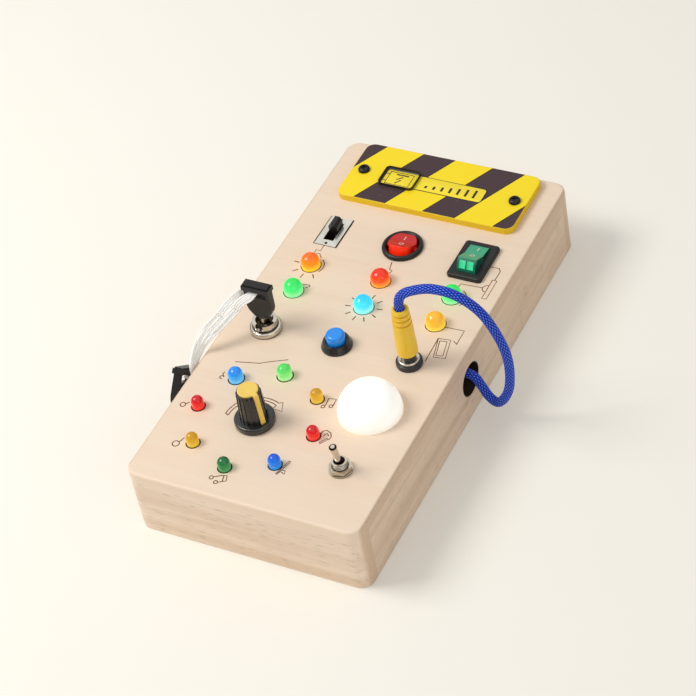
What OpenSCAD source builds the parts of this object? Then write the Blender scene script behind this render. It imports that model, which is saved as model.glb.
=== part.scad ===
// Wooden busy board: a shallow wooden case that carries switches, lamps, a key lock and a plug lead.
// Millimetres. The case lies on its back: +X right, +Y towards the sign, +Z up out of the top board.

/* [Case] */
// Width of the case
case_w = 100; // [98:1:110]
// Length of the case
case_l = 200; // [196:1:220]
// Height of the case
case_h = 31; // [30:0.5:36]
// Thickness of the top board
top_t = 5; // [4:0.5:6]
// Thickness of the side boards
wall_t = 8; // [7:0.5:9]
// Radius of the upright corners
corner_r = 5.5; // [4:0.5:6.5]
// Rounding of the top edge
edge_r = 1.2; // [0.6:0.1:2]
// Thickness of the back board
back_t = 3; // [2.5:0.5:4]
// Thickness of the lip outside the back board
lip_t = 4; // [3:0.5:5]
// Gap round the back board
back_gap = 0.3; // [0.2:0.1:0.5]

/* [Layout] */
// Distance of the side columns from the case's sides
col_inset = 18.4; // [17:0.2:20]
// Distance of the power switches from the far end
switch_inset = 54.8; // [53:0.2:56]
// Step from the switches to the upper row of lamps, as a share of the case's length
row_step = 0.1045; // [0.1:0.0005:0.115]
// Step between the two rows of lamps, as a share of the case's length
row_step2 = 0.0785; // [0.07:0.0005:0.085]
// Step from the lower row of lamps to the lock row, as a share of the case's length
row_step3 = 0.1125; // [0.105:0.0005:0.115]
// Shift of the lock row to the left
row_shift = 0.8; // [0:0.1:1.2]
// Middle of the lamp ring across, as a share of the case's width
ring_x_share = -0.13; // [-0.135:0.005:-0.12]
// Distance of the lamp ring's middle from the near end
ring_inset = 39.6; // [38.6:0.1:41]
// Radius of the lamp ring, as a share of the case's width
ring_r_share = 0.252; // [0.24:0.002:0.26]
// Distance of the toggle switch from the right side
toggle_inset = 20.3; // [19:0.1:23]
// Toggle switch along, as a share of the case's length
toggle_y_share = -0.3615; // [-0.37:0.0005:-0.35]
// Distance of the dome lamp from the right side
dome_inset = 22.8; // [21:0.2:24]
// Dome lamp along, as a share of the case's length
dome_y_share = -0.208; // [-0.215:0.001:-0.2]

/* [Fits] */
// Radial gap of parts that pass through the top board
hole_gap = 0.15; // [0.1:0.05:0.3]
// Radial gap of shafts that turn or slide
run_gap = 0.06; // [0.04:0.01:0.09]
// Gap between parts that move past each other
move_gap = 0.35; // [0.3:0.05:0.4]

/* [Sign] */
// Width of the sign
sign_w = 80; // [76:1:86]
// Depth of the sign
sign_d = 33.5; // [30:0.5:36]
// Thickness of the sign
sign_t = 3; // [2:0.5:4]
// Corner radius of the sign
sign_r = 4; // [3:0.5:5]
// Distance of the sign from the far edge
sign_inset = 2.3; // [1:0.1:3]
// Distance of the sign screws from its ends
sign_screw_in = 5.6; // [5:0.2:7]
// Diameter of the sign screw heads
sign_head_d = 5; // [4:0.2:6]
// Diameter of the sign screw shanks
sign_shank_d = 2.8; // [2.4:0.2:3.2]

/* [Lamps] */
// Lens diameter of the large lamps
big_led_d = 8; // [7:0.5:8.5]
// Straight part of a large lens above the board
big_led_lift = 2; // [1:0.5:3]
// Lens diameter of the small lamps
small_led_d = 5; // [4:0.5:6]
// Lens diameter of the two bright lamps of the ring
ring_lit_d = 6; // [5:0.5:7]
// Straight part of a small lens above the board
small_led_lift = 2.8; // [1:0.2:3]
// Step of the lamp flange under the board
led_flange = 0.6; // [0.4:0.1:0.8]
// Thickness of the lamp flange
led_flange_t = 1.2; // [1:0.1:1.5]
// Length of the lamp leads
led_lead = 5; // [3:1:8]
// Diameter of the dome lamp
dome_d = 25.4; // [24:0.2:28]
// Height of the rim under the dome
dome_rim_h = 0.6; // [0.6:0.2:2]
// Diameter of the dome lamp's neck in the board
dome_neck_d = 18; // [16:0.5:19]
// Diameter of the light pocket in the dome
dome_pocket_d = 14; // [10:0.5:15]

/* [Slide switch] */
// Width of the steel face
slide_w = 9.6; // [9:0.2:10.4]
// Length of the steel face
slide_l = 17; // [16:0.5:18]
// Gap along both long sides of the face
slide_gap = 0.65; // [0.4:0.05:0.8]
// Height of the steel face above the board
slide_rise = 0.2; // [0.1:0.1:0.5]
// Sheet thickness
slide_t = 0.8; // [0.6:0.1:1]
// Length of the ears under the board
slide_ear_l = 26; // [24:0.5:28]
// Width of the black slider
slider_w = 3.8; // [3:0.2:4.4]
// Length of the black slider
slider_l = 5.2; // [4:0.2:5.6]
// Height of the black slider above the face
slider_h = 4.2; // [4:0.2:8]
// Travel of the slider
slider_travel = 4.6; // [4:0.2:5]
// Depth of the switch body under the ears
slide_body_h = 7; // [5:0.5:8]

/* [Round rocker] */
// Diameter of the bezel
round_bezel_d = 17.1; // [16.5:0.1:18]
// Height of the bezel
round_bezel_h = 1.9; // [1.5:0.1:2.2]
// Diameter of the rocker
round_rocker_d = 11.5; // [11:0.1:12]
// Diameter of the housing under the bezel
round_neck_d = 15; // [14.4:0.1:15.6]
// Depth of the housing under the top board
round_depth = 9; // [8:0.5:11]
// Rocker tilt each way
round_tilt = 14; // [10:1:15]
// Height of the rocker edge above its pivot
round_edge_h = 3.1; // [2.8:0.1:4.5]

/* [Square rocker] */
// Width of the bezel
rect_bezel_w = 15; // [14.4:0.2:16]
// Length of the bezel
rect_bezel_l = 21; // [20:0.2:22]
// Height of the bezel
rect_bezel_h = 1.9; // [1.5:0.1:2.2]
// Width of the rocker
rect_rocker_w = 8; // [7.6:0.1:10.2]
// Half length of the rocker, from its pivot
rect_end_r = 7.45; // [7:0.05:7.6]
// Width of the housing
rect_neck_w = 12.8; // [12.4:0.2:13.6]
// Length of the housing
rect_neck_l = 18.6; // [18:0.2:19.2]
// Depth of the housing under the top board
rect_depth = 10; // [8:0.5:12]
// Rocker tilt each way
rect_tilt = 18; // [10:1:18]
// Height of the rocker edge above its pivot
rect_edge_h = 4.3; // [4.2:0.1:5]

/* [Push button] */
// Diameter of the bezel
push_bezel_d = 12.6; // [12.4:0.2:14.4]
// Height of the bezel
push_bezel_h = 3.2; // [2.8:0.2:4]
// Diameter of the threaded barrel
push_barrel_d = 11.8; // [11.4:0.1:12.2]
// Diameter of the blue cap
push_cap_d = 7.8; // [7.6:0.1:8.6]
// Height of the cap above the bezel
push_cap_rise = 3.8; // [3.5:0.1:5]
// Travel of the cap
push_travel = 2.5; // [2:0.1:3]
// Depth of the barrel under the top board
push_depth = 9; // [8:0.5:12]

/* [Key lock] */
// Diameter of the lock flange
lock_flange_d = 13; // [12.6:0.1:14]
// Height of the lock flange
lock_flange_h = 2.4; // [2:0.1:3]
// Diameter of the lock collar
lock_collar_d = 10; // [9.6:0.1:11]
// Height of the collar above the flange
lock_collar_h = 3; // [2.5:0.1:3.5]
// Diameter of the lock barrel
lock_barrel_d = 11.8; // [11.4:0.1:12.2]
// Depth of the lock under the top board
lock_depth = 9; // [8:0.5:11]
// Diameter of the turning plug
lock_rotor_d = 7.2; // [7:0.1:7.6]
// Height of the turning plug's face above the flange
rotor_rise = 1.4; // [1:0.1:2]

/* [Keys] */
// Diameter of the key shank
shank_d = 4; // [3.6:0.1:4.2]
// Length of the key shank
shank_l = 15; // [13:0.5:16]
// Shank that stands out of the turning plug
shank_out = 3.3; // [3:0.1:6]
// Width of the key head
bow_w = 12; // [11.6:0.2:14]
// Height of the key head
bow_h = 17; // [16:0.5:18]
// Thickness of the key head
bow_t = 3; // [2.6:0.1:3.4]
// Thickness of the bar on the key head
bar_t = 4.6; // [4:0.1:5]
// Height of the bar on the key head
bar_h = 2.7; // [2.2:0.1:3]
// Width of the slot in the key head
slot_w = 8; // [7.6:0.1:9.6]
// Height of the slot in the key head
slot_h = 3.4; // [3.2:0.1:6.2]
// Distance of the spare key from the case
spare_out = 4.6; // [4.4:0.1:5]
// Lean of the spare key
spare_tilt = 40; // [35:1:45]

/* [Jack and plug] */
// Diameter of the jack's base
jack_base_d = 10.6; // [10:0.1:11.4]
// Height of the jack's base
jack_base_h = 2.2; // [1.8:0.1:2.6]
// Outer diameter of the chrome ring
jack_ring_d = 8.8; // [8.4:0.1:9.4]
// Height of the chrome ring
jack_ring_h = 1.2; // [0.8:0.1:1.6]
// Diameter of the jack's neck
jack_neck_d = 6; // [5:0.1:6.2]
// Diameter of the jack's barrel in the board
jack_barrel_d = 7.8; // [7:0.1:8]
// Depth of the jack under the top board
jack_depth = 12; // [11:0.5:14]
// Diameter of the plug's pin
pin_d = 3.5; // [3:0.1:4]
// Length of the plug's pin
pin_l = 14; // [12:0.5:14.5]
// Height of the gap between plug and jack
plug_gap = 2.8; // [1:0.1:3]
// Length of the yellow plug shell
plug_l = 23.6; // [22:0.1:28]
// Diameter of the plug shell at the bottom
plug_d = 8.4; // [8:0.1:9]
// Diameter of the plug shell at the top
plug_top_d = 6.7; // [6.2:0.1:7.2]
// Depth of the recess that the lead leaves from
plug_recess = 1; // [0.6:0.1:1.4]
// Diameter of the blue lead
lead_d = 3.8; // [3.4:0.1:4]
// Diameter of the hole in the side board
lead_hole_d = 14; // [12:0.5:14]
// Distance of that hole from the lock row
lead_hole_in = 11.3; // [11:0.1:12]
// Distance of that hole's edge from the top board
lead_hole_top = 1.8; // [1.5:0.1:2.5]

/* [Knob] */
// Diameter of the skirt
skirt_d = 16; // [15:0.1:18]
// Height of the skirt
skirt_h = 2.6; // [2.4:0.1:3]
// Diameter of the grip above the skirt
grip_d = 10.4; // [10:0.1:12]
// Diameter of the grip at the top
grip_top_d = 9.1; // [8.8:0.1:10.6]
// Height of the knob
knob_h = 17.8; // [15:0.1:19]
// Gap under the knob
knob_gap = 0.4; // [0.3:0.1:0.8]
// Ribs round the grip
rib_count = 16; // [12:1:18]
// Width of the pointer
pointer_w = 1.9; // [1.5:0.1:2.5]
// Direction of the pointer
pointer_angle = -24; // [-35:1:-15]
// Diameter of the yellow cap
cap_d = 8.2; // [8:0.1:9.4]
// Thickness of the yellow cap
cap_t = 0.8; // [0.6:0.1:1.2]
// Diameter of the selector shaft
shaft_d = 6; // [5:0.1:6.2]
// Diameter of the selector bush
bush_d = 8; // [7.6:0.1:8.4]
// Height of the selector bush above the board
bush_h = 3.6; // [3:0.1:4]
// Side of the selector body
selector_w = 15; // [12:0.5:16]
// Depth of the selector body
selector_h = 8; // [6:0.5:9]

/* [Toggle switch] */
// Width of the toggle's nut across its flats
toggle_af = 8; // [7:0.1:9]
// Diameter of the toggle's washer
toggle_washer_d = 9.4; // [9:0.2:11]
// Diameter of the threaded bush
toggle_bush_d = 6; // [5.6:0.1:6.4]
// Height of the bush above the board
toggle_bush_h = 5; // [5:0.1:6]
// Length of the lever from its pivot
lever_l = 12.4; // [12:0.2:15]
// Diameter of the lever at the tip
lever_tip_d = 3; // [2.6:0.1:3.2]
// Diameter of the lever at the pivot
lever_root_d = 2.1; // [1.8:0.1:2.3]
// Rest angle of the lever
lever_tilt = 10; // [8:1:12]
// Diameter of the pivot ball
lever_ball_d = 4; // [3.6:0.1:4.2]
// Depth of the switch body
toggle_body_h = 10; // [8:0.5:11]

/* [Battery case and circuit board] */
// Diameter of a cell
cell_d = 10.4; // [10:0.1:10.5]
// Length of a cell without its nub
cell_l = 43.2; // [42:0.1:43.6]
// Wall of the battery case
tray_wall = 1.5; // [1.2:0.1:2]
// Thickness of the battery door
door_t = 2; // [1.6:0.1:2.4]
// Length of the circuit board
pcb_l = 60; // [50:1:64]
// Width of the circuit board
pcb_w = 34; // [30:1:36]
// Thickness of the circuit board
pcb_t = 1.6; // [1.2:0.2:2]
// Height of the pillars under the circuit board
pillar_h = 3; // [2.5:0.5:4]

/* [Hidden] */
$fn = 64;
eps = 0.01;

top_z = case_h;
col_x = case_w / 2 - col_inset;
switch_y = case_l / 2 - switch_inset;
lamp_row_y = switch_y - row_step * case_l;
lamp_row2_y = lamp_row_y - row_step2 * case_l;
lock_y = lamp_row2_y - row_step3 * case_l;
lock_x = -col_x - row_shift;
push_x = -row_shift;
jack_x = col_x - row_shift;
ring_x = ring_x_share * case_w;
ring_y = ring_inset - case_l / 2;
ring_r = ring_r_share * case_w;
toggle_x = case_w / 2 - toggle_inset;
toggle_y = toggle_y_share * case_l;
dome_x = case_w / 2 - dome_inset;
dome_y = dome_y_share * case_l;
lead_hole_y = lock_y + lead_hole_in;
under_z = case_h - top_t;
lead_hole_z = under_z - lead_hole_top - lead_hole_d / 2;
wall_h = under_z;
ledge_w = wall_t - lip_t;
inner_w = case_w - 2 * wall_t;
inner_l = case_l - 2 * wall_t;
back_w = case_w - 2 * lip_t;
back_l = case_l - 2 * lip_t;

lead_pitch = 2.54;
lead_wire = 0.5;

sign_y = case_l / 2 - sign_inset - sign_d / 2;
sign_screw_x = sign_w / 2 - sign_screw_in;
sign_head_h = 1.6;
sign_shank_l = 6;

back_screw_d = 2.2;
back_head_d = 3.6;
back_head_h = 1.3;
back_screw_l = 9;
back_screw_sink = 0.2;
screw_gap = 0.05;

slide_face_z = top_z + slide_rise;
slider_y = (slider_travel + slider_l) / 2 - slider_l / 2;
slide_can_l = 14;
round_pivot_z = top_z + 0.3;
round_bore_r = round_rocker_d / 2 + 0.85;
round_pin_bite = 0.7;
round_end_r = round_rocker_d / 2 + 0.3;
rocker_pin_d = 1.8;
rect_pin_bite = 0.9;
rect_pivot_z = top_z + 0.5;
rect_open_l = 2 * (rect_end_r + move_gap);
rect_open_w = rect_rocker_w + 2 * move_gap;
rocker_floor = 1.5;
round_under_z = under_z - round_depth;
rect_under_z = under_z - rect_depth;
tab_w = 4.8;
tab_t = 0.8;
tab_l = 5;

cap_top_z = top_z + push_bezel_h + push_cap_rise;
cap_bottom_z = top_z - 2;
push_bore_r = push_cap_d / 2 + move_gap;
push_floor_z = under_z - push_depth + 1.5;
spring_r = 2.9;
spring_t = 0.5;
cap_stem_r = 2;

lock_top_z = top_z + lock_flange_h + lock_collar_h;
rotor_top_z = top_z + lock_flange_h + rotor_rise;
rotor_bottom_z = under_z - lock_depth + 1.5;
shoulder_z = rotor_top_z + shank_out;
lug_w = 1.2;
lug_h = 3;
lug_reach = 0.9;
spare_y = lock_y - 28;
spare_rise = -1.3;
bar_z = bow_h - bar_h;
slot_z = bar_z - slot_h;

jack_face_z = top_z + jack_base_h;
ring_top_z = jack_face_z + jack_ring_h;
plug_z = ring_top_z + plug_gap;
plug_top_z = plug_z + plug_l;

knob_z = top_z + knob_gap;
knob_top_z = top_z + knob_h;
skirt_top_z = knob_z + skirt_h;
nut_t = 1.8;
rib_w = 0.8;
rib_out = 0.35;
selector_af = 10;

toggle_washer_t = 0.6;
toggle_nut_t = 1.8;
lever_pivot_z = top_z + toggle_bush_h - 2.3;
lever_pin_d = 1.2;
lever_pin_l = 5.2;

cell_gap = 0.3;
nub_d = 3.8;
nub_h = 1.2;
cell_z = door_t + cell_gap + cell_d / 2;
tray_h = cell_z + cell_d / 2 + cell_gap;
cell_side = 1.1;
tray_flange = 3;
tray_flange_t = 1.2;
tray_post = 3;
tray_l = cell_l + nub_h + 2 * (tray_post + cell_gap);
tray_w = 3 * cell_d + 2 * (cell_gap + cell_side);
tray_y = inner_l / 2 - tray_flange - tray_wall - tray_w / 2 - 0.5;
door_screw_x = tray_l / 2 - 1.7;
door_shank_d = 1.5;
door_shank_l = 5;
door_head_d = 2.6;
door_grip_w = 12;
pcb_x = 2 - inner_w / 2 + pcb_l / 2;
pcb_y = 9 - inner_l / 2 + pcb_w / 2;
pcb_z = back_t + pillar_h;

// Route of the blue lead, from the recess in the plug to the anchor inside the case. Its points are
// measured from the right side, the lock row and the top board.
lead_points = [[-19.2, 0, 28.9], [-19.2, 0, 32.6], [-17.7, -0.1, 36.7], [-13.4, 0, 40.3],
    [-4.5, 0.6, 43.5], [5.5, 1.4, 42], [14, 2.6, 34.5], [19.2, 4, 21.5], [20.8, 5.6, 8.5],
    [19.2, 7.3, -6], [16, 8.4, -15.5], [11.5, 9.6, -21.5], [7.5, 10.3, -20], [4.6, 10.8, -15.5],
    [1.8, 11.2, -11.8], [-4, 11.3, -10], [-12, 11.3, -10]];
lead_route = [for (p = lead_points) [case_w / 2, lock_y, top_z] + p];
lead_steps = 3;
lead_end_x = inner_w / 2 - 4;
anchor_h = 9;
// Route of the tether: the loop in the key's head, then the drape over the left edge to the spare key.
// The two are a small gap apart, because the loop turns with the key. Points are measured from the left
// side, the lock row and the top board.
loop_points = [[15.7, 3, 19.7], [15.6, 0, 19.75], [15.1, -2.4, 19.2], [13.6, -3.9, 17.3],
    [11.66, -4.7, 15.2], [10.83, -5.19, 14.56]];
loop_radius = [1.2, 1.2, 1.25, 1.5, 1.8, 1.9];
drape_points = [[10.17, -5.61, 14.1], [9.34, -6.15, 13.5], [7, -8.4, 12], [3.5, -13.5, 9.4],
    [0.7, -17.8, 5.8], [-0.9, -21.3, 2.5], [-1.15, -24.3, -0.6], [-1.15, -26.86, -3.46],
    [-1.3, -27.87, -5.33], [-2.3, -28.27, -6.43], [-4.9, -28.46, -6.66]];
drape_radius = [1.9, 1.95, 2, 2.1, 2, 1.6, 1, 0.8, 0.8, 0.8, 0.8];
loop_route = [for (p = loop_points) [-case_w / 2, lock_y, top_z] + p];
drape_route = [for (p = drape_points) [-case_w / 2, lock_y, top_z] + p];
tether_steps = 2;
tube_sides = 8;

// Point on a smooth curve through the list p, between points i and i + 1.
function spline(p, i, t) =
    let (a = p[max(i - 1, 0)], b = p[i], c = p[i + 1], d = p[min(i + 2, len(p) - 1)])
    0.5 * (2 * b + (c - a) * t + (2 * a - 5 * b + 4 * c - d) * t * t
        + (3 * b - a - 3 * c + d) * t * t * t);

function spread(p, steps) =
    [for (i = [0 : len(p) - 2]) for (k = [0 : steps - 1]) spline(p, i, k / steps), p[len(p) - 1]];

function unit(v) = v / norm(v);

function tangent(p, i) = unit(p[min(i + 1, len(p) - 1)] - p[max(i - 1, 0)]);

// Side vectors carried along the route without a twist.
function sides(p, first) =
    [for (i = 0, s = first; i < len(p); i = i + 1,
        s = i < len(p) ? unit(s - (s * tangent(p, i)) * tangent(p, i)) : s) s];

// Tube along a list of ring centres, with one radius per ring.
module tube(p, radius, first) {
    n = len(p);
    side = sides(p, first);
    rings = [for (i = [0 : n - 1]) for (k = [0 : tube_sides - 1])
        let (u = side[i], w = cross(tangent(p, i), u), a = 360 * (k + 0.5) / tube_sides)
        p[i] + radius[i] * (cos(a) * u + sin(a) * w)];
    skin = [for (i = [0 : n - 2]) for (k = [0 : tube_sides - 1])
        let (a = i * tube_sides + k, b = i * tube_sides + (k + 1) % tube_sides)
        [a, a + tube_sides, b + tube_sides, b]];
    start = [for (k = [0 : tube_sides - 1]) k];
    end = [for (k = [tube_sides - 1 : -1 : 0]) (n - 1) * tube_sides + k];
    polyhedron(points = rings, faces = concat(skin, [start], [end]), convexity = 10);
}

// Board with round upright corners and a round top edge.
module rounded_board(w, l, t, rc, re) {
    translate([-w / 2 + rc, -l / 2, 0]) cube([w - 2 * rc, l, t - re]);
    translate([-w / 2, -l / 2 + rc, 0]) cube([w, l - 2 * rc, t - re]);
    translate([-w / 2 + rc, -l / 2 + re, 0]) cube([w - 2 * rc, l - 2 * re, t]);
    translate([-w / 2 + re, -l / 2 + rc, 0]) cube([w - 2 * re, l - 2 * rc, t]);
    for (s = [-1, 1]) {
        translate([-w / 2 + rc, s * (l / 2 - re), t - re])
            rotate([0, 90, 0]) cylinder(r = re, h = w - 2 * rc);
        translate([s * (w / 2 - re), -l / 2 + rc, t - re])
            rotate([-90, 0, 0]) cylinder(r = re, h = l - 2 * rc);
        for (q = [-1, 1]) translate([s * (w / 2 - rc), q * (l / 2 - rc), 0]) rounded_disc(rc, t, re);
    }
}

// Disc with a round top edge.
module rounded_disc(r, t, re) {
    rotate_extrude() {
        square([r, t - re]);
        square([r - re, t]);
        translate([r - re, t - re]) intersection() {
            circle(r = re);
            square(re);
        }
    }
}

module ring(r_out, r_in, h) {
    difference() {
        cylinder(r = r_out, h = h);
        translate([0, 0, -eps]) cylinder(r = r_in, h = h + 2 * eps);
    }
}

module hex_nut(af, bore_r, h) {
    difference() {
        cylinder(d = af / cos(30), h = h, $fn = 6);
        translate([0, 0, -eps]) cylinder(r = bore_r, h = h + 2 * eps);
    }
}

module at(x, y, z) translate([x, y, z]) children();

module each_ring_lamp(places) {
    for (k = places)
        at(ring_x + ring_r * cos(135 - 45 * k), ring_y + ring_r * sin(135 - 45 * k), 0) children();
}

module back_screw_places() {
    x = back_w / 2 - ledge_w / 2 - back_gap;
    y = back_l / 2 - ledge_w / 2 - back_gap;
    for (sx = [-1, 1]) for (ky = [-1, 0, 1]) at(sx * x, ky * y, 0) children();
}

module sign_screw_places() {
    for (s = [-1, 1]) at(s * sign_screw_x, sign_y, 0) children();
}

// Wooden case

module board_holes() {
    sign_screw_places() at(0, 0, top_z + sign_t - sign_shank_l)
        cylinder(d = sign_shank_d + 2 * screw_gap, h = sign_shank_l);
    at(-col_x, switch_y, under_z - 1) slide_cutout();
    at(0, switch_y, under_z - 1) cylinder(d = round_neck_d + 2 * hole_gap, h = top_t + 2);
    at(col_x - rect_neck_w / 2 - hole_gap, switch_y - rect_neck_l / 2 - hole_gap, under_z - 1)
        cube([rect_neck_w + 2 * hole_gap, rect_neck_l + 2 * hole_gap, top_t + 2]);
    for (x = [-col_x, 0, col_x]) for (y = [lamp_row_y, lamp_row2_y])
        at(x, y, under_z - 1) cylinder(d = big_led_d + 2 * hole_gap, h = top_t + 2);
    at(lock_x, lock_y, under_z - 1) cylinder(d = lock_barrel_d + 2 * hole_gap, h = top_t + 2);
    at(push_x, lock_y, under_z - 1) cylinder(d = push_barrel_d + 2 * hole_gap, h = top_t + 2);
    at(jack_x, lock_y, under_z - 1) cylinder(d = jack_barrel_d + 2 * hole_gap, h = top_t + 2);
    each_ring_lamp([0, 1]) at(0, 0, under_z - 1) cylinder(d = ring_lit_d + 2 * hole_gap, h = top_t + 2);
    each_ring_lamp([2 : 7]) at(0, 0, under_z - 1) cylinder(d = small_led_d + 2 * hole_gap, h = top_t + 2);
    at(ring_x, ring_y, under_z - 1) cylinder(d = bush_d + 2 * hole_gap, h = top_t + 2);
    at(toggle_x, toggle_y, under_z - 1) cylinder(d = toggle_bush_d + 2 * hole_gap, h = top_t + 2);
    at(dome_x, dome_y, under_z - 1) cylinder(d = dome_neck_d + 2 * hole_gap, h = top_t + 2);
}

module top_board() {
    color([0.93, 0.84, 0.74]) difference() {
        at(0, 0, under_z) rounded_board(case_w, case_l, top_t, corner_r, edge_r);
        board_holes();
    }
}

// Plan of an end board: its outer face lies on y = 0.
module end_plan() {
    at(corner_r - case_w / 2, 0, 0) square([case_w - 2 * corner_r, wall_t]);
    at(-case_w / 2, corner_r, 0) square([case_w, wall_t - corner_r]);
    for (s = [-1, 1]) at(s * (case_w / 2 - corner_r), corner_r, 0) intersection() {
        circle(r = corner_r);
        at(s > 0 ? 0 : -corner_r, -corner_r, 0) square(corner_r);
    }
}

module end_board() {
    difference() {
        at(0, -case_l / 2, 0) linear_extrude(wall_h) end_plan();
        at(-back_w / 2, -back_l / 2, -eps) cube([back_w, back_l, back_t + eps]);
        pilot_holes();
    }
}

module side_board(side) {
    difference() {
        at(side > 0 ? inner_w / 2 : -case_w / 2, -inner_l / 2, 0) cube([wall_t, inner_l, wall_h]);
        at(-back_w / 2, -back_l / 2, -eps) cube([back_w, back_l, back_t + eps]);
        pilot_holes();
    }
}

module pilot_holes() {
    back_screw_places() cylinder(d = back_screw_d + 2 * screw_gap, h = back_screw_sink + back_screw_l);
}

module board_near() color([0.91, 0.81, 0.70]) end_board();

module board_far() color([0.91, 0.81, 0.70]) rotate(180) end_board();

module board_left() color([0.88, 0.77, 0.65]) side_board(-1);

module board_right() {
    color([0.88, 0.77, 0.65]) difference() {
        side_board(1);
        at(inner_w / 2 - 1, lead_hole_y, lead_hole_z)
            rotate([0, 90, 0]) cylinder(d = lead_hole_d, h = wall_t + 2);
    }
}

module back_board() {
    w = back_w - 2 * back_gap;
    l = back_l - 2 * back_gap;
    color([0.90, 0.82, 0.70]) difference() {
        at(-w / 2, -l / 2, 0) cube([w, l, back_t]);
        back_screw_places() {
            at(0, 0, -eps) cylinder(d = back_head_d + 2 * screw_gap, h = back_screw_sink + eps);
            at(0, 0, back_screw_sink - eps) cylinder(d1 = back_head_d + 2 * screw_gap,
                d2 = back_screw_d + 2 * screw_gap, h = back_head_h + eps);
            cylinder(d = back_screw_d + 2 * screw_gap, h = back_t + 1);
        }
        at(-tray_l / 2 - tray_wall - back_gap, tray_y - tray_w / 2 - tray_wall - back_gap, -1)
            cube([tray_l + 2 * (tray_wall + back_gap), tray_w + 2 * (tray_wall + back_gap), back_t + 2]);
    }
}

module back_screws() {
    color([0.75, 0.76, 0.78]) back_screw_places() at(0, 0, back_screw_sink) {
        cylinder(d1 = back_head_d, d2 = back_screw_d, h = back_head_h);
        cylinder(d = back_screw_d, h = back_screw_l - 0.2);
    }
}

// Battery case, cells and circuit board

module battery_case() {
    out_l = tray_l + 2 * tray_wall;
    out_w = tray_w + 2 * tray_wall;
    post_h = tray_h - door_t + eps;
    color([0.12, 0.12, 0.13]) at(0, tray_y, 0) {
        difference() {
            union() {
                at(-out_l / 2, -out_w / 2, 0) cube([out_l, out_w, tray_h + tray_wall]);
                at(-out_l / 2 - tray_flange, -out_w / 2 - tray_flange, back_t)
                    cube([out_l + 2 * tray_flange, out_w + 2 * tray_flange, tray_flange_t]);
            }
            at(-tray_l / 2, -tray_w / 2, -eps) cube([tray_l, tray_w, tray_h + eps]);
        }
        for (sx = [-1, 1]) for (sy = [-1, 1])
            at(sx * (tray_l - tray_post + eps) / 2, sy * (tray_w - tray_post + eps) / 2, door_t + post_h / 2)
                cube([tray_post + eps, tray_post + eps, post_h], center = true);
        difference() {
            at(tray_l / 2 - tray_post, -tray_post, door_t) cube([tray_post + eps, 2 * tray_post, post_h]);
            at(door_screw_x, 0, door_t - eps) cylinder(d = door_shank_d + 2 * screw_gap, h = door_shank_l);
        }
    }
}

module battery_cells() {
    color([0.85, 0.70, 0.25]) for (k = [-1, 0, 1])
        at(-nub_h / 2, tray_y + k * (cell_d + cell_gap), cell_z) rotate([0, 90, 0]) {
            at(0, 0, -cell_l / 2) cylinder(d = cell_d, h = cell_l);
            cylinder(d = nub_d, h = cell_l / 2 + nub_h);
        }
}

module battery_door() {
    l = tray_l - 2 * back_gap;
    w = tray_w - 2 * back_gap;
    color([0.13, 0.13, 0.14]) at(0, tray_y, 0) difference() {
        at(-l / 2, -w / 2, 0) cube([l, w, door_t]);
        at(door_screw_x, 0, -1) cylinder(d = door_shank_d + 2 * screw_gap, h = door_t + 2);
        at(door_screw_x, 0, -eps) cylinder(d = door_head_d + 2 * screw_gap, h = 1);
        for (k = [0 : 4]) at(-l / 3 + 3 * k, -door_grip_w / 2, -eps) cube([1.2, door_grip_w, 0.5]);
    }
}

module door_screw() {
    color([0.75, 0.76, 0.78]) at(door_screw_x, tray_y, 0) {
        at(0, 0, 0.2) cylinder(d = door_head_d, h = 0.8 - eps);
        at(0, 0, 0.5) cylinder(d = door_shank_d, h = door_shank_l + 1);
    }
}

module circuit_board() {
    color([0.10, 0.42, 0.24]) at(pcb_x, pcb_y, pcb_z) {
        at(-pcb_l / 2, -pcb_w / 2, 0) cube([pcb_l, pcb_w, pcb_t]);
        at(-6, -4, pcb_t - eps) cube([12, 8, 1.6]);
        for (k = [0 : 3]) at(-24 + 5 * k, 10, pcb_t - eps) cube([3.6, 4.8, 4]);
        for (k = [0 : 4]) at(10 + 4 * k, -12, pcb_t - eps) cube([2, 5, 0.8]);
    }
}

module board_pillars() {
    color([0.80, 0.66, 0.30]) for (sx = [-1, 1]) for (sy = [-1, 1])
        at(pcb_x + sx * (pcb_l / 2 - 4), pcb_y + sy * (pcb_w / 2 - 4), back_t) cylinder(d = 5, h = pillar_h);
}

// Sign

module sign_plate() {
    color([0.98, 0.86, 0.12]) difference() {
        at(0, sign_y, top_z) rounded_board(sign_w, sign_d, sign_t, sign_r, 0.6);
        sign_screw_places() at(0, 0, top_z - 1) cylinder(d = sign_shank_d + 2 * screw_gap, h = sign_t + 2);
    }
}

module sign_screws() {
    cross_w = 0.7;
    cross_l = 2.8;
    color([0.06, 0.06, 0.06]) sign_screw_places() at(0, 0, top_z + sign_t) rotate(20) difference() {
        union() {
            rounded_disc(sign_head_d / 2, sign_head_h, 1.2);
            at(0, 0, 0.2 - sign_shank_l) cylinder(d = sign_shank_d, h = sign_shank_l);
        }
        at(-cross_l / 2, -cross_w / 2, sign_head_h - 0.8) cube([cross_l, cross_w, 1]);
        at(-cross_w / 2, -cross_l / 2, sign_head_h - 0.8) cube([cross_w, cross_l, 1]);
    }
}

// Slide switch

module slide_cutout() {
    w = slide_w + 2 * slide_gap;
    l = slide_l + 0.4;
    at(-w / 2, -l / 2, 0) cube([w, l, top_t + 2]);
}

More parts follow.
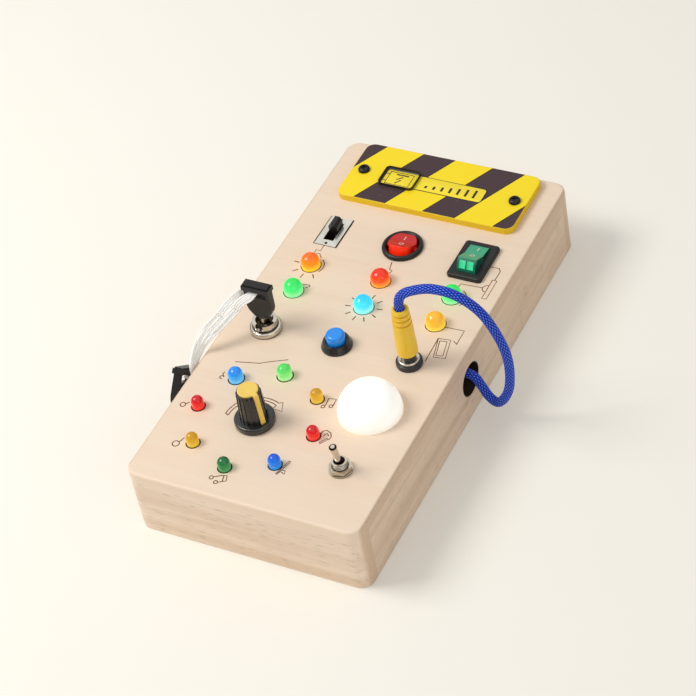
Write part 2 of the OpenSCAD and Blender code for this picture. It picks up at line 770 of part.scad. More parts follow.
module slide_face() {
    window_l = slider_l + slider_travel + 0.8;
    color([0.80, 0.80, 0.78]) at(-col_x, switch_y, 0) difference() {
        union() {
            at(-slide_w / 2, -slide_l / 2, slide_face_z - slide_t) cube([slide_w, slide_l, slide_t]);
            at(-slide_w / 2, -slide_can_l / 2, under_z - slide_t)
                cube([slide_w, slide_can_l, slide_face_z - under_z]);
            at(-slide_w / 2, -slide_ear_l / 2, under_z - slide_t) cube([slide_w, slide_ear_l, slide_t]);
        }
        at(-slide_w / 2 + slide_t, -slide_can_l / 2 + slide_t, under_z - 2)
            cube([slide_w - 2 * slide_t, slide_can_l - 2 * slide_t, slide_face_z - slide_t - under_z + 2]);
        at(-slider_w / 2 - 0.4, -window_l / 2, slide_face_z - 3) cube([slider_w + 0.8, window_l, 4]);
        for (s = [-1, 1]) at(0, s * (slide_l / 2 - 1.3), slide_face_z - 2) cylinder(d = 1.3, h = 3);
        for (s = [-1, 1]) at(0, s * (slide_ear_l / 2 - 2), under_z - 2) cylinder(d = 1.8, h = 3);
    }
}

module slide_body() {
    body_z = under_z - slide_t - slide_body_h;
    color([0.45, 0.28, 0.16]) at(-col_x, switch_y, 0) {
        at(-slide_w / 2, -slide_can_l / 2, body_z) cube([slide_w, slide_can_l, slide_body_h]);
        for (k = [-1, 0, 1]) at(-0.4, 4 * k - 0.8, body_z - 2.5) cube([0.8, 1.6, 2.6]);
    }
}

module slide_knob() {
    foot_z = under_z - slide_t + 0.05;
    foot_top = slide_face_z - slide_t - move_gap;
    foot_w = slide_w - 2 * slide_t - 2 * move_gap;
    foot_l = slider_l - 2.2;
    knob_top = slide_face_z + slider_h;
    chamfer = 0.9;
    chamfer_h = 1.4;
    color([0.07, 0.07, 0.07]) at(-col_x, switch_y + slider_y, 0) {
        at(-slider_w / 2, -slider_l / 2, foot_top - 1)
            cube([slider_w, slider_l, knob_top - chamfer_h - foot_top + 1]);
        at(0, slider_l / 2, knob_top) rotate([90, 0, 0]) linear_extrude(slider_l)
            polygon([[-slider_w / 2, -chamfer_h - eps], [slider_w / 2, -chamfer_h - eps],
                [slider_w / 2 - chamfer, 0], [chamfer - slider_w / 2, 0]]);
        at(-foot_w / 2, -foot_l / 2, foot_z) cube([foot_w, foot_l, foot_top - foot_z]);
    }
}

// Rocker switches

module rocker_pins(half_w) {
    rotate([0, 90, 0]) cylinder(d = rocker_pin_d, h = 2 * half_w, center = true);
}

module pin_hole(half_w) {
    rotate([0, 90, 0]) cylinder(d = rocker_pin_d + 2 * run_gap, h = 2 * (half_w + 0.1), center = true);
}

// Side view of a rocker about its pivot: round ends and a hollow top.
module rocker_side(end_r, half_top, edge_h, drop) {
    intersection() {
        circle(r = end_r);
        polygon([[-end_r - 1, -drop], [end_r + 1, -drop], [end_r + 1, edge_h], [half_top, edge_h],
            [0, edge_h - 0.9], [-half_top, edge_h], [-end_r - 1, edge_h]]);
    }
}

module rocker_bar(w, end_r, half_top, edge_h, drop) {
    rotate([90, 0, 90]) at(0, 0, -w / 2) linear_extrude(w) rocker_side(end_r, half_top, edge_h, drop);
}

module round_housing() {
    color([0.08, 0.08, 0.09]) at(0, switch_y, 0) difference() {
        union() {
            at(0, 0, top_z) rounded_disc(round_bezel_d / 2, round_bezel_h, 1.2);
            at(0, 0, round_under_z) cylinder(d = round_neck_d, h = top_z - round_under_z + eps);
            for (s = [-1, 1]) at(s * 3 - tab_t / 2, -tab_w / 2, round_under_z - tab_l)
                cube([tab_t, tab_w, tab_l + 0.1]);
        }
        at(0, 0, round_under_z + rocker_floor) cylinder(r = round_bore_r, h = 30);
        at(0, 0, top_z + round_bezel_h - 0.6) cylinder(r1 = round_bore_r, r2 = round_bore_r + 0.7, h = 0.61);
        at(0, 0, round_pivot_z) pin_hole(round_bore_r + round_pin_bite);
    }
}

module round_rocker() {
    color([0.80, 0.08, 0.06]) at(0, switch_y, round_pivot_z) rotate([-round_tilt, 0, 0]) {
        intersection() {
            rocker_bar(round_rocker_d, round_end_r, 4.5, round_edge_h, 4.5);
            cylinder(d = round_rocker_d, h = 30, center = true);
        }
        rocker_pins(round_bore_r + round_pin_bite);
    }
}

module rect_housing() {
    w = rect_bezel_w;
    l = rect_bezel_l;
    color([0.08, 0.08, 0.09]) at(col_x, switch_y, 0) difference() {
        union() {
            at(0, 0, top_z) rounded_board(w, l, rect_bezel_h, 1.5, 0.8);
            at(-rect_neck_w / 2, -rect_neck_l / 2, rect_under_z)
                cube([rect_neck_w, rect_neck_l, top_z - rect_under_z + eps]);
            for (s = [-1, 1]) at(-tab_w / 2, s * 5 - tab_t / 2, rect_under_z - tab_l)
                cube([tab_w, tab_t, tab_l + 0.1]);
        }
        at(-rect_open_w / 2, -rect_open_l / 2, rect_under_z + rocker_floor)
            cube([rect_open_w, rect_open_l, 30]);
        at(0, 0, rect_pivot_z) pin_hole(rect_open_w / 2 + rect_pin_bite);
    }
}

module rect_rocker() {
    window_w = 2.7;
    color([0.02, 0.45, 0.30]) at(col_x, switch_y, rect_pivot_z) rotate([-rect_tilt, 0, 0]) {
        difference() {
            rocker_bar(rect_rocker_w, rect_end_r, 5.4, rect_edge_h, 5);
            for (s = [-1, 1]) at(s * 1.7 - window_w / 2, -rect_end_r - 1, 0.2) cube([window_w, 1.9, 3.2]);
        }
        rocker_pins(rect_open_w / 2 + rect_pin_bite);
    }
}

// Lamps

module led(d, lift) {
    r = d / 2;
    flange_z = under_z - led_flange_t;
    rotate_extrude() {
        at(0, flange_z, 0) square([r + led_flange, led_flange_t]);
        at(0, flange_z, 0) square([r, led_flange_t + top_t + lift]);
        at(0, top_z + lift, 0) intersection() {
            circle(r = r);
            square(r);
        }
    }
    for (s = [-1, 1]) at(s * lead_pitch / 2 - lead_wire / 2, -lead_wire / 2, flange_z - led_lead)
        cube([lead_wire, lead_wire, led_lead + eps]);
}

module big_led(x, y) at(x, y, 0) led(big_led_d, big_led_lift);

module led_orange() color([1, 0.45, 0.05]) big_led(-col_x, lamp_row_y);

module led_red() color([0.95, 0.15, 0.08]) big_led(0, lamp_row_y);

module led_cyan() color([0.1, 0.8, 1]) big_led(0, lamp_row2_y);

module led_amber() color([1, 0.72, 0.1]) big_led(col_x, lamp_row2_y);

module leds_green() {
    color([0.15, 0.95, 0.35]) {
        big_led(-col_x, lamp_row2_y);
        big_led(col_x, lamp_row_y);
    }
}

module small_leds(places) each_ring_lamp(places) led(small_led_d, small_led_lift);

module ring_blue_lit() color([0.1, 0.45, 1]) each_ring_lamp([0]) led(ring_lit_d, small_led_lift);

module ring_green_lit() color([0.1, 0.9, 0.3]) each_ring_lamp([1]) led(ring_lit_d, small_led_lift);

module ring_yellow() color([0.9, 0.7, 0.05]) small_leds([2, 6]);

module ring_red() color([0.8, 0.05, 0.08]) small_leds([3, 7]);

module ring_blue() color([0.05, 0.25, 0.8]) small_leds([4]);

module ring_green() color([0.05, 0.4, 0.12]) small_leds([5]);

module dome_lamp() {
    color([1, 1, 0.97]) at(dome_x, dome_y, 0) difference() {
        rotate_extrude() {
            at(0, top_z, 0) square([dome_d / 2, dome_rim_h]);
            at(0, top_z + dome_rim_h, 0) intersection() {
                circle(r = dome_d / 2);
                square(dome_d / 2);
            }
            at(0, under_z, 0) square([dome_neck_d / 2, top_t + 1]);
        }
        at(0, 0, under_z - 1) cylinder(d = dome_pocket_d, h = top_t + 4);
    }
}

module dome_board() {
    color([0.85, 0.86, 0.84]) at(dome_x, dome_y, 0) {
        at(0, 0, under_z - 1.2) cylinder(d = dome_neck_d + 3, h = 1.2);
        for (a = [0 : 60 : 300]) rotate(a) at(3, -1.2, under_z - eps) cube([2.4, 2.4, 1]);
        at(0, 0, under_z - eps) cylinder(d = 2.4, h = 1);
    }
}

// Push button

module push_housing() {
    r = push_bezel_d / 2;
    rim_z = top_z + push_bezel_h;
    color([0.08, 0.08, 0.08]) at(push_x, lock_y, 0) difference() {
        rotate_extrude() polygon([[0, under_z - push_depth], [push_barrel_d / 2, under_z - push_depth],
            [push_barrel_d / 2, top_z], [r, top_z], [r, top_z + 0.8], [push_bore_r + 1, rim_z], [0, rim_z]]);
        at(0, 0, push_floor_z) cylinder(r = push_bore_r, h = 40);
        at(0, 0, under_z - push_depth - 1) cylinder(r = cap_stem_r + move_gap, h = 6);
    }
}

module push_cap() {
    r = push_cap_d / 2;
    edge = 1.5;
    color([0.05, 0.30, 0.75]) at(push_x, lock_y, 0) {
        at(0, 0, cap_bottom_z) rounded_disc(r, cap_top_z - cap_bottom_z, edge);
        at(0, 0, push_floor_z - 1) cylinder(r = cap_stem_r, h = cap_bottom_z - push_floor_z + 1 + eps);
    }
}

module push_spring() {
    color([0.75, 0.76, 0.78]) at(push_x, lock_y, push_floor_z)
        ring(spring_r, spring_r - spring_t, cap_bottom_z - push_floor_z);
}

module panel_nuts() {
    color([0.72, 0.73, 0.75]) {
        at(lock_x, lock_y, under_z - 2) hex_nut(14, lock_barrel_d / 2 + screw_gap, 2);
        at(push_x, lock_y, under_z - 2) hex_nut(14, push_barrel_d / 2 + screw_gap, 2);
        at(ring_x, ring_y, top_z) hex_nut(selector_af, bush_d / 2 + screw_gap, nut_t);
    }
}

// Key lock and keys

module lock_body() {
    r = lock_flange_d / 2;
    rc = lock_collar_d / 2;
    color([0.80, 0.80, 0.80]) at(lock_x, lock_y, 0) difference() {
        union() {
            at(0, 0, top_z) rounded_disc(r, lock_flange_h, 0.8);
            at(0, 0, top_z) cylinder(r = rc, h = lock_flange_h + lock_collar_h);
            at(0, 0, under_z - lock_depth) cylinder(d = lock_barrel_d, h = lock_depth + top_t + eps);
            at(-4.5, -4.5, under_z - lock_depth - 4) cube([9, 9, 4.1]);
        }
        at(0, 0, rotor_bottom_z) cylinder(r = lock_rotor_d / 2 + run_gap, h = 60);
        for (s = [-1, 1]) at(-1.6, s * rc - 2, top_z + lock_flange_h + 0.8) cube([3.2, 4, lock_collar_h]);
    }
}

module lock_rotor() {
    bore_z = shoulder_z - shank_l - 0.5;
    color([0.70, 0.70, 0.70]) at(lock_x, lock_y, 0) difference() {
        at(0, 0, rotor_bottom_z) cylinder(d = lock_rotor_d, h = rotor_top_z - rotor_bottom_z);
        at(0, 0, bore_z) cylinder(d = shank_d + 2 * run_gap, h = 40);
        at(0, -lug_w / 2 - 0.15, bore_z) cube([shank_d / 2 + lug_reach + 0.15, lug_w + 0.3, 40]);
    }
}

// Metal shank of a key, below its shoulder at z = 0.
module shank() {
    at(0, 0, -shank_l + 0.6) cylinder(d = shank_d, h = shank_l - 0.6);
    at(0, 0, -shank_l) cylinder(d1 = shank_d - 1.2, d2 = shank_d, h = 0.6 + eps);
    at(0, -lug_w / 2, -shank_l + 0.8) cube([shank_d / 2 + lug_reach, lug_w, lug_h]);
}

// Black head of a key, above its shoulder.
module head() {
    half = bow_w / 2 - 0.3;
    difference() {
        rotate([90, 0, 0]) at(0, 0, -bow_t / 2) linear_extrude(bow_t)
            polygon([[-2.1, 0], [2.1, 0], [half - 2.3, 1.1], [half - 0.7, 3.4], [half - 0.1, 5.4], [half, bar_z + 0.5],
                [-half, bar_z + 0.5], [0.1 - half, 5.4], [0.7 - half, 3.4], [2.3 - half, 1.1]]);
        at(-slot_w / 2, -bow_t, slot_z) cube([slot_w, 2 * bow_t, slot_h]);
    }
    at(-bow_w / 2, -bar_t / 2, bar_z) cube([bow_w, bar_t, bar_h - 0.6]);
    at(-bow_w / 2 + 0.6, -bar_t / 2 + 0.6, bar_z) cube([bow_w - 1.2, bar_t - 1.2, bar_h]);
}

module on_lock() at(lock_x, lock_y, shoulder_z) children();

// The spare key leans beside the left board, its slot end towards the sign.
module on_spare() {
    at(-case_w / 2 - spare_out, spare_y, top_z + spare_rise) rotate([-spare_tilt, 0, 0])
        at(0, 0, -bow_h) rotate(-90) children();
}

module key_shank() color([0.55, 0.55, 0.56]) on_lock() shank();

module key_head() color([0.07, 0.07, 0.07]) on_lock() head();

module spare_shank() color([0.55, 0.55, 0.56]) on_spare() shank();

module spare_head() color([0.07, 0.07, 0.07]) on_spare() head();

module tether_loop() {
    p = spread(loop_route, tether_steps);
    r = spread(loop_radius, tether_steps);
    color([0.94, 0.94, 0.90]) tube(p, r, [0, 0, 1]);
}

module tether_drape() {
    p = spread(drape_route, tether_steps);
    r = spread(drape_radius, tether_steps);
    color([0.94, 0.94, 0.90]) tube(p, r, [0, 0, 1]);
}

// Jack, plug and lead

module jack_body() {
    color([0.08, 0.08, 0.08]) at(jack_x, lock_y, 0) difference() {
        union() {
            at(0, 0, top_z) rounded_disc(jack_base_d / 2, jack_base_h, 0.6);
            at(0, 0, under_z - jack_depth) cylinder(d = jack_barrel_d, h = jack_depth + top_t + eps);
            at(0, 0, top_z) cylinder(d = jack_neck_d, h = plug_z - 0.4 - top_z);
        }
        at(0, 0, plug_z - pin_l - 0.5) cylinder(d = pin_d + 2 * run_gap, h = 60);
    }
}

module jack_ring() {
    r = jack_ring_d / 2;
    color([0.82, 0.82, 0.82]) at(jack_x, lock_y, jack_face_z) difference() {
        rounded_disc(r, jack_ring_h, 0.5);
        at(0, 0, -eps) cylinder(d = jack_neck_d + 2 * screw_gap, h = jack_ring_h + 1);
    }
}

module plug_shell() {
    r = plug_d / 2;
    rt = plug_top_d / 2;
    groove = 0.5;
    groove_h = 0.6;
    pitch = 2.4;
    color([0.95, 0.76, 0.12]) at(jack_x, lock_y, 0) difference() {
        rotate_extrude() polygon([[0, plug_z], [r - 0.5, plug_z], [r, plug_z + 0.6], [r, plug_z + 5],
            [rt + 0.5, plug_top_z - 8], [rt, plug_top_z - 0.5], [rt - 0.4, plug_top_z], [0, plug_top_z]]);
        at(0, 0, plug_top_z - plug_recess) cylinder(d = lead_d + 0.8, h = plug_recess + 1);
        for (k = [1 : 3]) at(0, 0, plug_top_z - pitch * k) ring(r + 1, rt - groove + 0.12 * k, groove_h);
    }
}

module plug_pin() {
    color([0.80, 0.78, 0.70]) at(jack_x, lock_y, 0) {
        at(0, 0, plug_z - pin_l + 1) cylinder(d = pin_d, h = pin_l - 1);
        at(0, 0, plug_z - pin_l) cylinder(d1 = pin_d - 1.5, d2 = pin_d, h = 1 + eps);
    }
}

module blue_lead() {
    p = spread(lead_route, lead_steps);
    color([0.08, 0.22, 0.75]) tube(p, [for (i = p) lead_d / 2], [1, 0, 0]);
}

// Glued block under the top board that the lead ends in.
module lead_anchor() {
    w = 7;
    color([0.90, 0.90, 0.88]) at(lead_end_x - w, lead_hole_y - w / 2, under_z - anchor_h)
        cube([w, w, anchor_h]);
}

// Selector and knob

module selector_body() {
    color([0.25, 0.27, 0.30]) at(ring_x, ring_y, 0) difference() {
        union() {
            at(-selector_w / 2, -selector_w / 2, under_z - selector_h)
                cube([selector_w, selector_w, selector_h]);
            at(0, 0, under_z - eps) cylinder(d = bush_d, h = top_t + bush_h);
            for (a = [0 : 60 : 300]) rotate(a) at(5, -0.3, under_z - selector_h - 3) cube([1, 0.6, 3.1]);
        }
        at(0, 0, under_z - selector_h + 1) cylinder(d = shaft_d + 2 * run_gap, h = 40);
    }
}

module selector_shaft() {
    foot_z = under_z - selector_h + 1.2;
    color([0.80, 0.80, 0.78]) at(ring_x, ring_y, foot_z) cylinder(d = shaft_d, h = knob_top_z - 3 - foot_z);
}

module knob_body() {
    slope = atan((grip_d - grip_top_d) / 2 / (knob_top_z - cap_t - skirt_top_z));
    grip_h = knob_top_z - cap_t - skirt_top_z;
    color([0.07, 0.07, 0.07]) at(ring_x, ring_y, 0) difference() {
        union() {
            at(0, 0, knob_z) rounded_disc(skirt_d / 2, skirt_h, 0.8);
            at(0, 0, skirt_top_z - eps) cylinder(d1 = grip_d, d2 = grip_top_d, h = grip_h + eps);
            for (k = [1 : rib_count - 1]) rotate(pointer_angle + 360 * k / rib_count)
                at(grip_d / 2, 0, skirt_top_z - 0.2) rotate([0, -slope, 0])
                    at(-0.8, -rib_w / 2, 0) cube([0.8 + rib_out, rib_w, grip_h - 0.6]);
        }
        at(0, 0, top_z) cylinder(d = selector_af / cos(30) + 1, h = nut_t + move_gap);
        at(0, 0, knob_z - 1) cylinder(d = bush_d + 1, h = bush_h + 1.5);
        at(0, 0, knob_z - 1) cylinder(d = shaft_d + 2 * screw_gap, h = knob_top_z - 2.9 - knob_z + 1);
    }
}

module knob_cap() {
    skirt_r = grip_d / 2 + rib_out + 0.1;
    top_r = grip_top_d / 2 + 0.1;
    z = knob_top_z;
    color([0.96, 0.80, 0.32]) at(ring_x, ring_y, 0) {
        at(0, 0, z - cap_t) rounded_disc(cap_d / 2, cap_t, 0.3);
        rotate(pointer_angle) at(0, pointer_w / 2, 0) rotate([90, 0, 0]) linear_extrude(pointer_w)
            polygon([[2, z - cap_t], [top_r, z - cap_t], [skirt_r - 0.25, skirt_top_z + 0.05],
                [skirt_r + 0.5, skirt_top_z + 0.05], [top_r + 0.8, z - 0.4], [top_r + 0.3, z], [2, z]]);
    }
}

// Toggle switch

module toggle_body() {
    color([0.62, 0.63, 0.65]) at(toggle_x, toggle_y, 0) difference() {
        union() {
            at(-4, -6.5, under_z - toggle_body_h) cube([8, 13, toggle_body_h]);
            at(0, 0, under_z - eps) cylinder(d = toggle_bush_d, h = top_t + toggle_bush_h);
            for (k = [-1, 0, 1])
                at(-1, 4.7 * k - 0.4, under_z - toggle_body_h - 3.5) cube([2, 0.8, 3.6]);
        }
        at(0, 0, lever_pivot_z - 3) cylinder(d = lever_ball_d + 2 * run_gap, h = 40);
        at(0, 0, lever_pivot_z) rotate([0, 90, 0])
            cylinder(d = lever_pin_d + 2 * run_gap, h = lever_pin_l + 0.2, center = true);
    }
}

module toggle_nut() {
    color([0.78, 0.78, 0.76]) at(toggle_x, toggle_y, top_z) difference() {
        union() {
            cylinder(d = toggle_washer_d, h = toggle_washer_t);
            at(0, 0, toggle_washer_t - eps)
                rotate(12) cylinder(d = toggle_af / cos(30), h = toggle_nut_t, $fn = 6);
        }
        at(0, 0, -eps) cylinder(d = toggle_bush_d + 2 * screw_gap, h = 2 * toggle_nut_t);
    }
}

module toggle_lever() {
    color([0.80, 0.78, 0.74]) at(toggle_x, toggle_y, lever_pivot_z) rotate([lever_tilt, 0, 0]) {
        sphere(d = lever_ball_d);
        rotate([0, 90, 0]) cylinder(d = lever_pin_d, h = lever_pin_l, center = true);
        cylinder(d1 = lever_root_d, d2 = lever_tip_d, h = lever_l - 0.4);
        at(0, 0, lever_l - 0.4 - eps) cylinder(d1 = lever_tip_d, d2 = lever_tip_d - 0.8, h = 0.4);
    }
}

top_board();
board_near();
board_far();
board_left();
board_right();
back_board();
back_screws();
battery_case();
battery_cells();
battery_door();
door_screw();
circuit_board();
board_pillars();
sign_plate();
sign_screws();
slide_face();
slide_body();
slide_knob();
round_housing();
round_rocker();
rect_housing();
rect_rocker();
led_orange();
led_red();
led_cyan();
led_amber();
leds_green();
ring_blue_lit();
ring_green_lit();
ring_yellow();
ring_red();
ring_blue();
ring_green();
lock_body();
lock_rotor();
key_shank();
key_head();
spare_shank();
spare_head();
tether_loop();
tether_drape();
push_housing();
push_cap();
push_spring();
panel_nuts();
jack_body();
jack_ring();
plug_shell();
plug_pin();
blue_lead();
lead_anchor();
selector_body();
selector_shaft();
knob_body();
knob_cap();
toggle_body();
toggle_nut();
toggle_lever();
dome_lamp();
dome_board();
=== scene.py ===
import math

import bpy
from mathutils import Matrix, Vector


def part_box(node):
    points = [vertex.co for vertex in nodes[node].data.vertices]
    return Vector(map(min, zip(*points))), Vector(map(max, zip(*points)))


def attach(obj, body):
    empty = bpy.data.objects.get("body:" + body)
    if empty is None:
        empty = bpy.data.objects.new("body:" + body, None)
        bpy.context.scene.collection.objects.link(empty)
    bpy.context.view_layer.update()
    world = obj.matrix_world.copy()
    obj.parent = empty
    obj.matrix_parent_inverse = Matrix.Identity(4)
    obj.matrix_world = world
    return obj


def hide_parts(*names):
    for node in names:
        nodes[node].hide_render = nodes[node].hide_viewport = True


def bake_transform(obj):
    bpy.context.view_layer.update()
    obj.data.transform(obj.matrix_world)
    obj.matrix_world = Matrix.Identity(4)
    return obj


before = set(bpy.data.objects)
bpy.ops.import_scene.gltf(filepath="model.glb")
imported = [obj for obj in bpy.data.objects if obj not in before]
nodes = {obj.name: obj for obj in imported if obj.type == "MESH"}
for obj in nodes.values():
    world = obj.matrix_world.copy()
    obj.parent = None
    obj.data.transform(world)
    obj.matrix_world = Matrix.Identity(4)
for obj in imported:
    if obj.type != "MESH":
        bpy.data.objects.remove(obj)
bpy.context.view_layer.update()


# ---------------------------------------------------------------------------
# Camera. It looks down on the board from its near right corner with a long
# lens, and is rolled a little.
camera_data = bpy.data.cameras.new("camera")
camera_data.lens = 126.87
camera_data.sensor_width = 36
camera_data.clip_start = 0.01
camera_data.clip_end = 20
camera = bpy.data.objects.new("camera", camera_data)
camera_place = (0.392345, -0.580984, 0.697578)
right = Vector((0.88803703, 0.43574261, -0.14669224))
up = Vector((-0.21645, 0.67770, 0.70276))
back = Vector((0.40563665, -0.59232784, 0.69613694))
camera_turn = Matrix((right, up, back)).transposed()
camera.matrix_world = Matrix.Translation(camera_place) @ camera_turn.to_4x4()
bpy.context.scene.collection.objects.link(camera)
bpy.context.scene.camera = camera


# ---------------------------------------------------------------------------
# Blue lead. A round wire in a woven royal blue sleeve, 3.8 mm thick, that
# leaves the top of the yellow plug in an arch, drops beside the case and goes
# back in through a hole in the right side board.
MM = 0.001


def colour(red, green, blue):
    """A colour in screen values 0 to 255, as the light values that a shader takes."""
    return tuple((c / 255 / 12.92) if c <= 10 else ((c / 255 + 0.055) / 1.055) ** 2.4
                 for c in (red, green, blue))


class Socket:
    """One value in a finish. Sums written with it add their Math nodes."""

    def __init__(self, finish, link):
        self.finish = finish
        self.link = link

    def run(self, operation, *others):
        return self.finish.sum(operation, self, *others)

    def __add__(self, other):
        return self.run("ADD", other)

    def __radd__(self, other):
        return self.run("ADD", other)

    def __sub__(self, other):
        return self.run("SUBTRACT", other)

    def __rsub__(self, other):
        return self.finish.sum("SUBTRACT", other, self)

    def __mul__(self, other):
        return self.run("MULTIPLY", other)

    def __rmul__(self, other):
        return self.run("MULTIPLY", other)

    def __truediv__(self, other):
        return self.run("DIVIDE", other)

    def __pow__(self, other):
        return self.run("POWER", other)

    def __lt__(self, other):
        return self.run("LESS_THAN", other)

    def __gt__(self, other):
        return self.run("GREATER_THAN", other)

    def __abs__(self):
        return self.run("ABSOLUTE")


class Finish:
    """A surface finish: one Principled shader and the nodes that feed it."""

    def __init__(self, name, fixed=None):
        self.material = bpy.data.materials.new(name)
        self.material.use_nodes = True
        self.tree = self.material.node_tree
        self.shader = self.tree.nodes["Principled BSDF"]
        self.tone = None
        for socket, value in (fixed or {}).items():
            self.feed(self.shader.inputs[socket], value)

    def feed(self, socket, value):
        if isinstance(value, Socket):
            self.tree.links.new(value.link, socket)
        elif isinstance(value, tuple) and len(value) == 3 and socket.type == "RGBA":
            socket.default_value = (*value, 1)
        else:
            socket.default_value = value

    def put(self, kind, settings=None, inputs=None, out=0):
        """Adds any node: its settings first, then its sockets' values or links."""
        node = self.tree.nodes.new(kind)
        for setting, value in (settings or {}).items():
            setattr(node, setting, value)
        for socket, value in (inputs or {}).items():
            self.feed(node.inputs[socket], value)
        return Socket(self, node.outputs[out])

    def sum(self, operation, *values):
        return self.put("ShaderNodeMath", {"operation": operation}, dict(enumerate(values)))

    def place(self, scale=(1, 1, 1)):
        """Coordinates on the piece, in metres before the scale."""
        spot = self.put("ShaderNodeTexCoord", out="Object")
        return self.put("ShaderNodeMapping", None, {"Vector": spot, "Scale": scale})

    def drawn_out(self, along, share):
        """Coordinates in which a pattern is drawn out along one axis, or none."""
        scale = [1.0, 1.0, 1.0]
        if along is not None:
            scale[along] = share
        return self.place(tuple(scale))

    def axes(self, source="Object"):
        """X, Y and Z, each as a value of its own."""
        spot = self.put("ShaderNodeTexCoord", out=source)
        return [self.put("ShaderNodeSeparateXYZ", None, {0: spot}, axis) for axis in "XYZ"]

    def noise(self, scale, detail=2.0, where=None, rough=0.5, warp=0.0):
        where = where or self.place()
        return self.put("ShaderNodeTexNoise", None, {
            "Vector": where, "Scale": scale, "Detail": detail, "Roughness": rough, "Distortion": warp})

    def ease(self, value, low, high):
        """0 below low, 1 above high, and smooth between."""
        return self.put("ShaderNodeMapRange", {"interpolation_type": "SMOOTHSTEP"}, {
            "Value": value, "From Min": low, "From Max": high})

    def mix(self, mask, first, second):
        return self.put("ShaderNodeMix", {"data_type": "RGBA"}, {0: mask, 6: first, 7: second}, 2)

    def bump(self, height, distance):
        """A relief this many metres deep, where the height runs from 0 to 1."""
        return self.put("ShaderNodeBump", None, {
            "Height": height, "Distance": distance, "Strength": 1.0})

    def cover(self, base=None, rough=None, bump=None, glow=None, metal=None, coat=None):
        """Feeds the shader, and keeps the base colour for what is laid over it."""
        self.tone = base or self.tone
        for socket, value in (("Base Color", base), ("Roughness", rough), ("Normal", bump),
                              ("Emission Color", glow), ("Metallic", metal), ("Coat Weight", coat)):
            if value is not None:
                self.feed(self.shader.inputs[socket], value)
        return self

    def on(self, *names):
        """Puts the finish on CAD nodes, in their own material slots."""
        for name in names:
            for slot in nodes[name].material_slots:
                slot.material = self.material
        return self


def route_through(points, steps=6):
    """The smooth line through the points, the same as the CAD part's."""
    spots = [Vector(p) * MM for p in points]
    line = []
    for i in range(len(spots) - 1):
        a, b = spots[max(i - 1, 0)], spots[i]
        c, d = spots[i + 1], spots[min(i + 2, len(spots) - 1)]
        for k in range(steps):
            t = k / steps
            line.append(0.5 * (2 * b + (c - a) * t + (2 * a - 5 * b + 4 * c - d) * t * t
                               + (3 * b - a - 3 * c + d) * t ** 3))
    line.append(spots[-1])
    return line


def run_of(line):
    return sum((b - a).length for a, b in zip(line, line[1:]))


def sleeve(name, line, diameter, finish, around=16):
    """A round tube along the line, with its own map: once round, and metres along."""
    side = Vector((1, 0, 0))
    verts, rings, along = [], [], 0.0
    for i, spot in enumerate(line):
        ahead = (line[min(i + 1, len(line) - 1)] - line[max(i - 1, 0)]).normalized()
        side = side - side.dot(ahead) * ahead
        if side.length < 1e-6:
            side = ahead.orthogonal()
        side.normalize()
        other = ahead.cross(side)
        if i:
            along += (spot - line[i - 1]).length
        rings.append(along)
        for k in range(around):
            angle = 2 * math.pi * k / around
            verts.append(spot + diameter / 2 * (math.cos(angle) * side + math.sin(angle) * other))
    faces, spans = [], []
    for i in range(len(line) - 1):
        for k in range(around):
            j = (k + 1) % around
            faces.append((i * around + k, i * around + j, (i + 1) * around + j, (i + 1) * around + k))
            spans.append([(k / around, rings[i]), ((k + 1) / around, rings[i]),
                          ((k + 1) / around, rings[i + 1]), (k / around, rings[i + 1])])
    last = (len(line) - 1) * around
    faces.append(tuple(reversed(range(around))))
    faces.append(tuple(range(last, last + around)))
    spans.extend([[(0.5, 0)] * around, [(0.5, rings[-1])] * around])
    mesh = bpy.data.meshes.new(name)
    mesh.from_pydata(verts, [], faces)
    chart = mesh.uv_layers.new(name="UVMap")
    for face, corners in zip(mesh.polygons, spans):
        face.use_smooth = len(corners) == 4
        for loop, corner in zip(face.loop_indices, corners):
            chart.data[loop].uv = corner
    mesh.materials.append(finish.material)
    piece = bpy.data.objects.new(name, mesh)
    bpy.context.scene.collection.objects.link(piece)
    return piece


def braid(name, gap, thread, shine, strands, pitch, depth, fuzz_and_glow=0.05):
    """A woven sleeve: two sets of strands that pass over and under each other,
    with painted shade in the gaps, a painted highlight on the crests and a faint painted glow.
    """
    # The emission gives the cords a faint painted glow, though they are no lamp; it grows with the fuzz.
    finish = Finish(name, {"Specular IOR Level": 0.25, "Sheen Weight": fuzz_and_glow, "Sheen Roughness": 0.4,
                           "Subsurface Weight": fuzz_and_glow, "Subsurface Scale": 0.0012,
                           "Subsurface Radius": (1.0, 0.96, 0.9), "Emission Strength": 0.16 * fuzz_and_glow})
    spot = finish.put("ShaderNodeTexCoord", out="UV")
    u = finish.put("ShaderNodeSeparateXYZ", None, {0: spot}, "X") * strands
    v = finish.put("ShaderNodeSeparateXYZ", None, {0: spot}, "Y") / pitch
    one, two = u + v, u - v
    over = (one.run("FLOOR") + two.run("FLOOR")).run("MODULO", 2).run("ABSOLUTE")
    ridge_one = (one.run("FRACT") * math.pi).run("SINE")
    ridge_two = (two.run("FRACT") * math.pi).run("SINE")
    height = over * ridge_one * ridge_two ** 0.4 + (1 - over) * ridge_two * ridge_one ** 0.4
    hairs = finish.noise(9000, 2)
    highlight_patchiness = finish.noise(260, 3)
    # Painted shade: the low parts between the strands take the darker gap colour.
    body = finish.mix(finish.ease(height, 0.12, 0.62), gap, thread)
    # Painted highlight: the crests of the strands turn to the shine colour, in patches.
    lit = finish.ease(height * (0.72 + 0.4 * hairs), 0.62, 0.98) * (0.35 + 0.75 * highlight_patchiness)
    woven = finish.mix(lit, body, shine)
    finish.cover(base=woven, rough=0.72 - 0.25 * height, bump=finish.bump(height + 0.12 * hairs, depth),
                 glow=woven)
    return finish


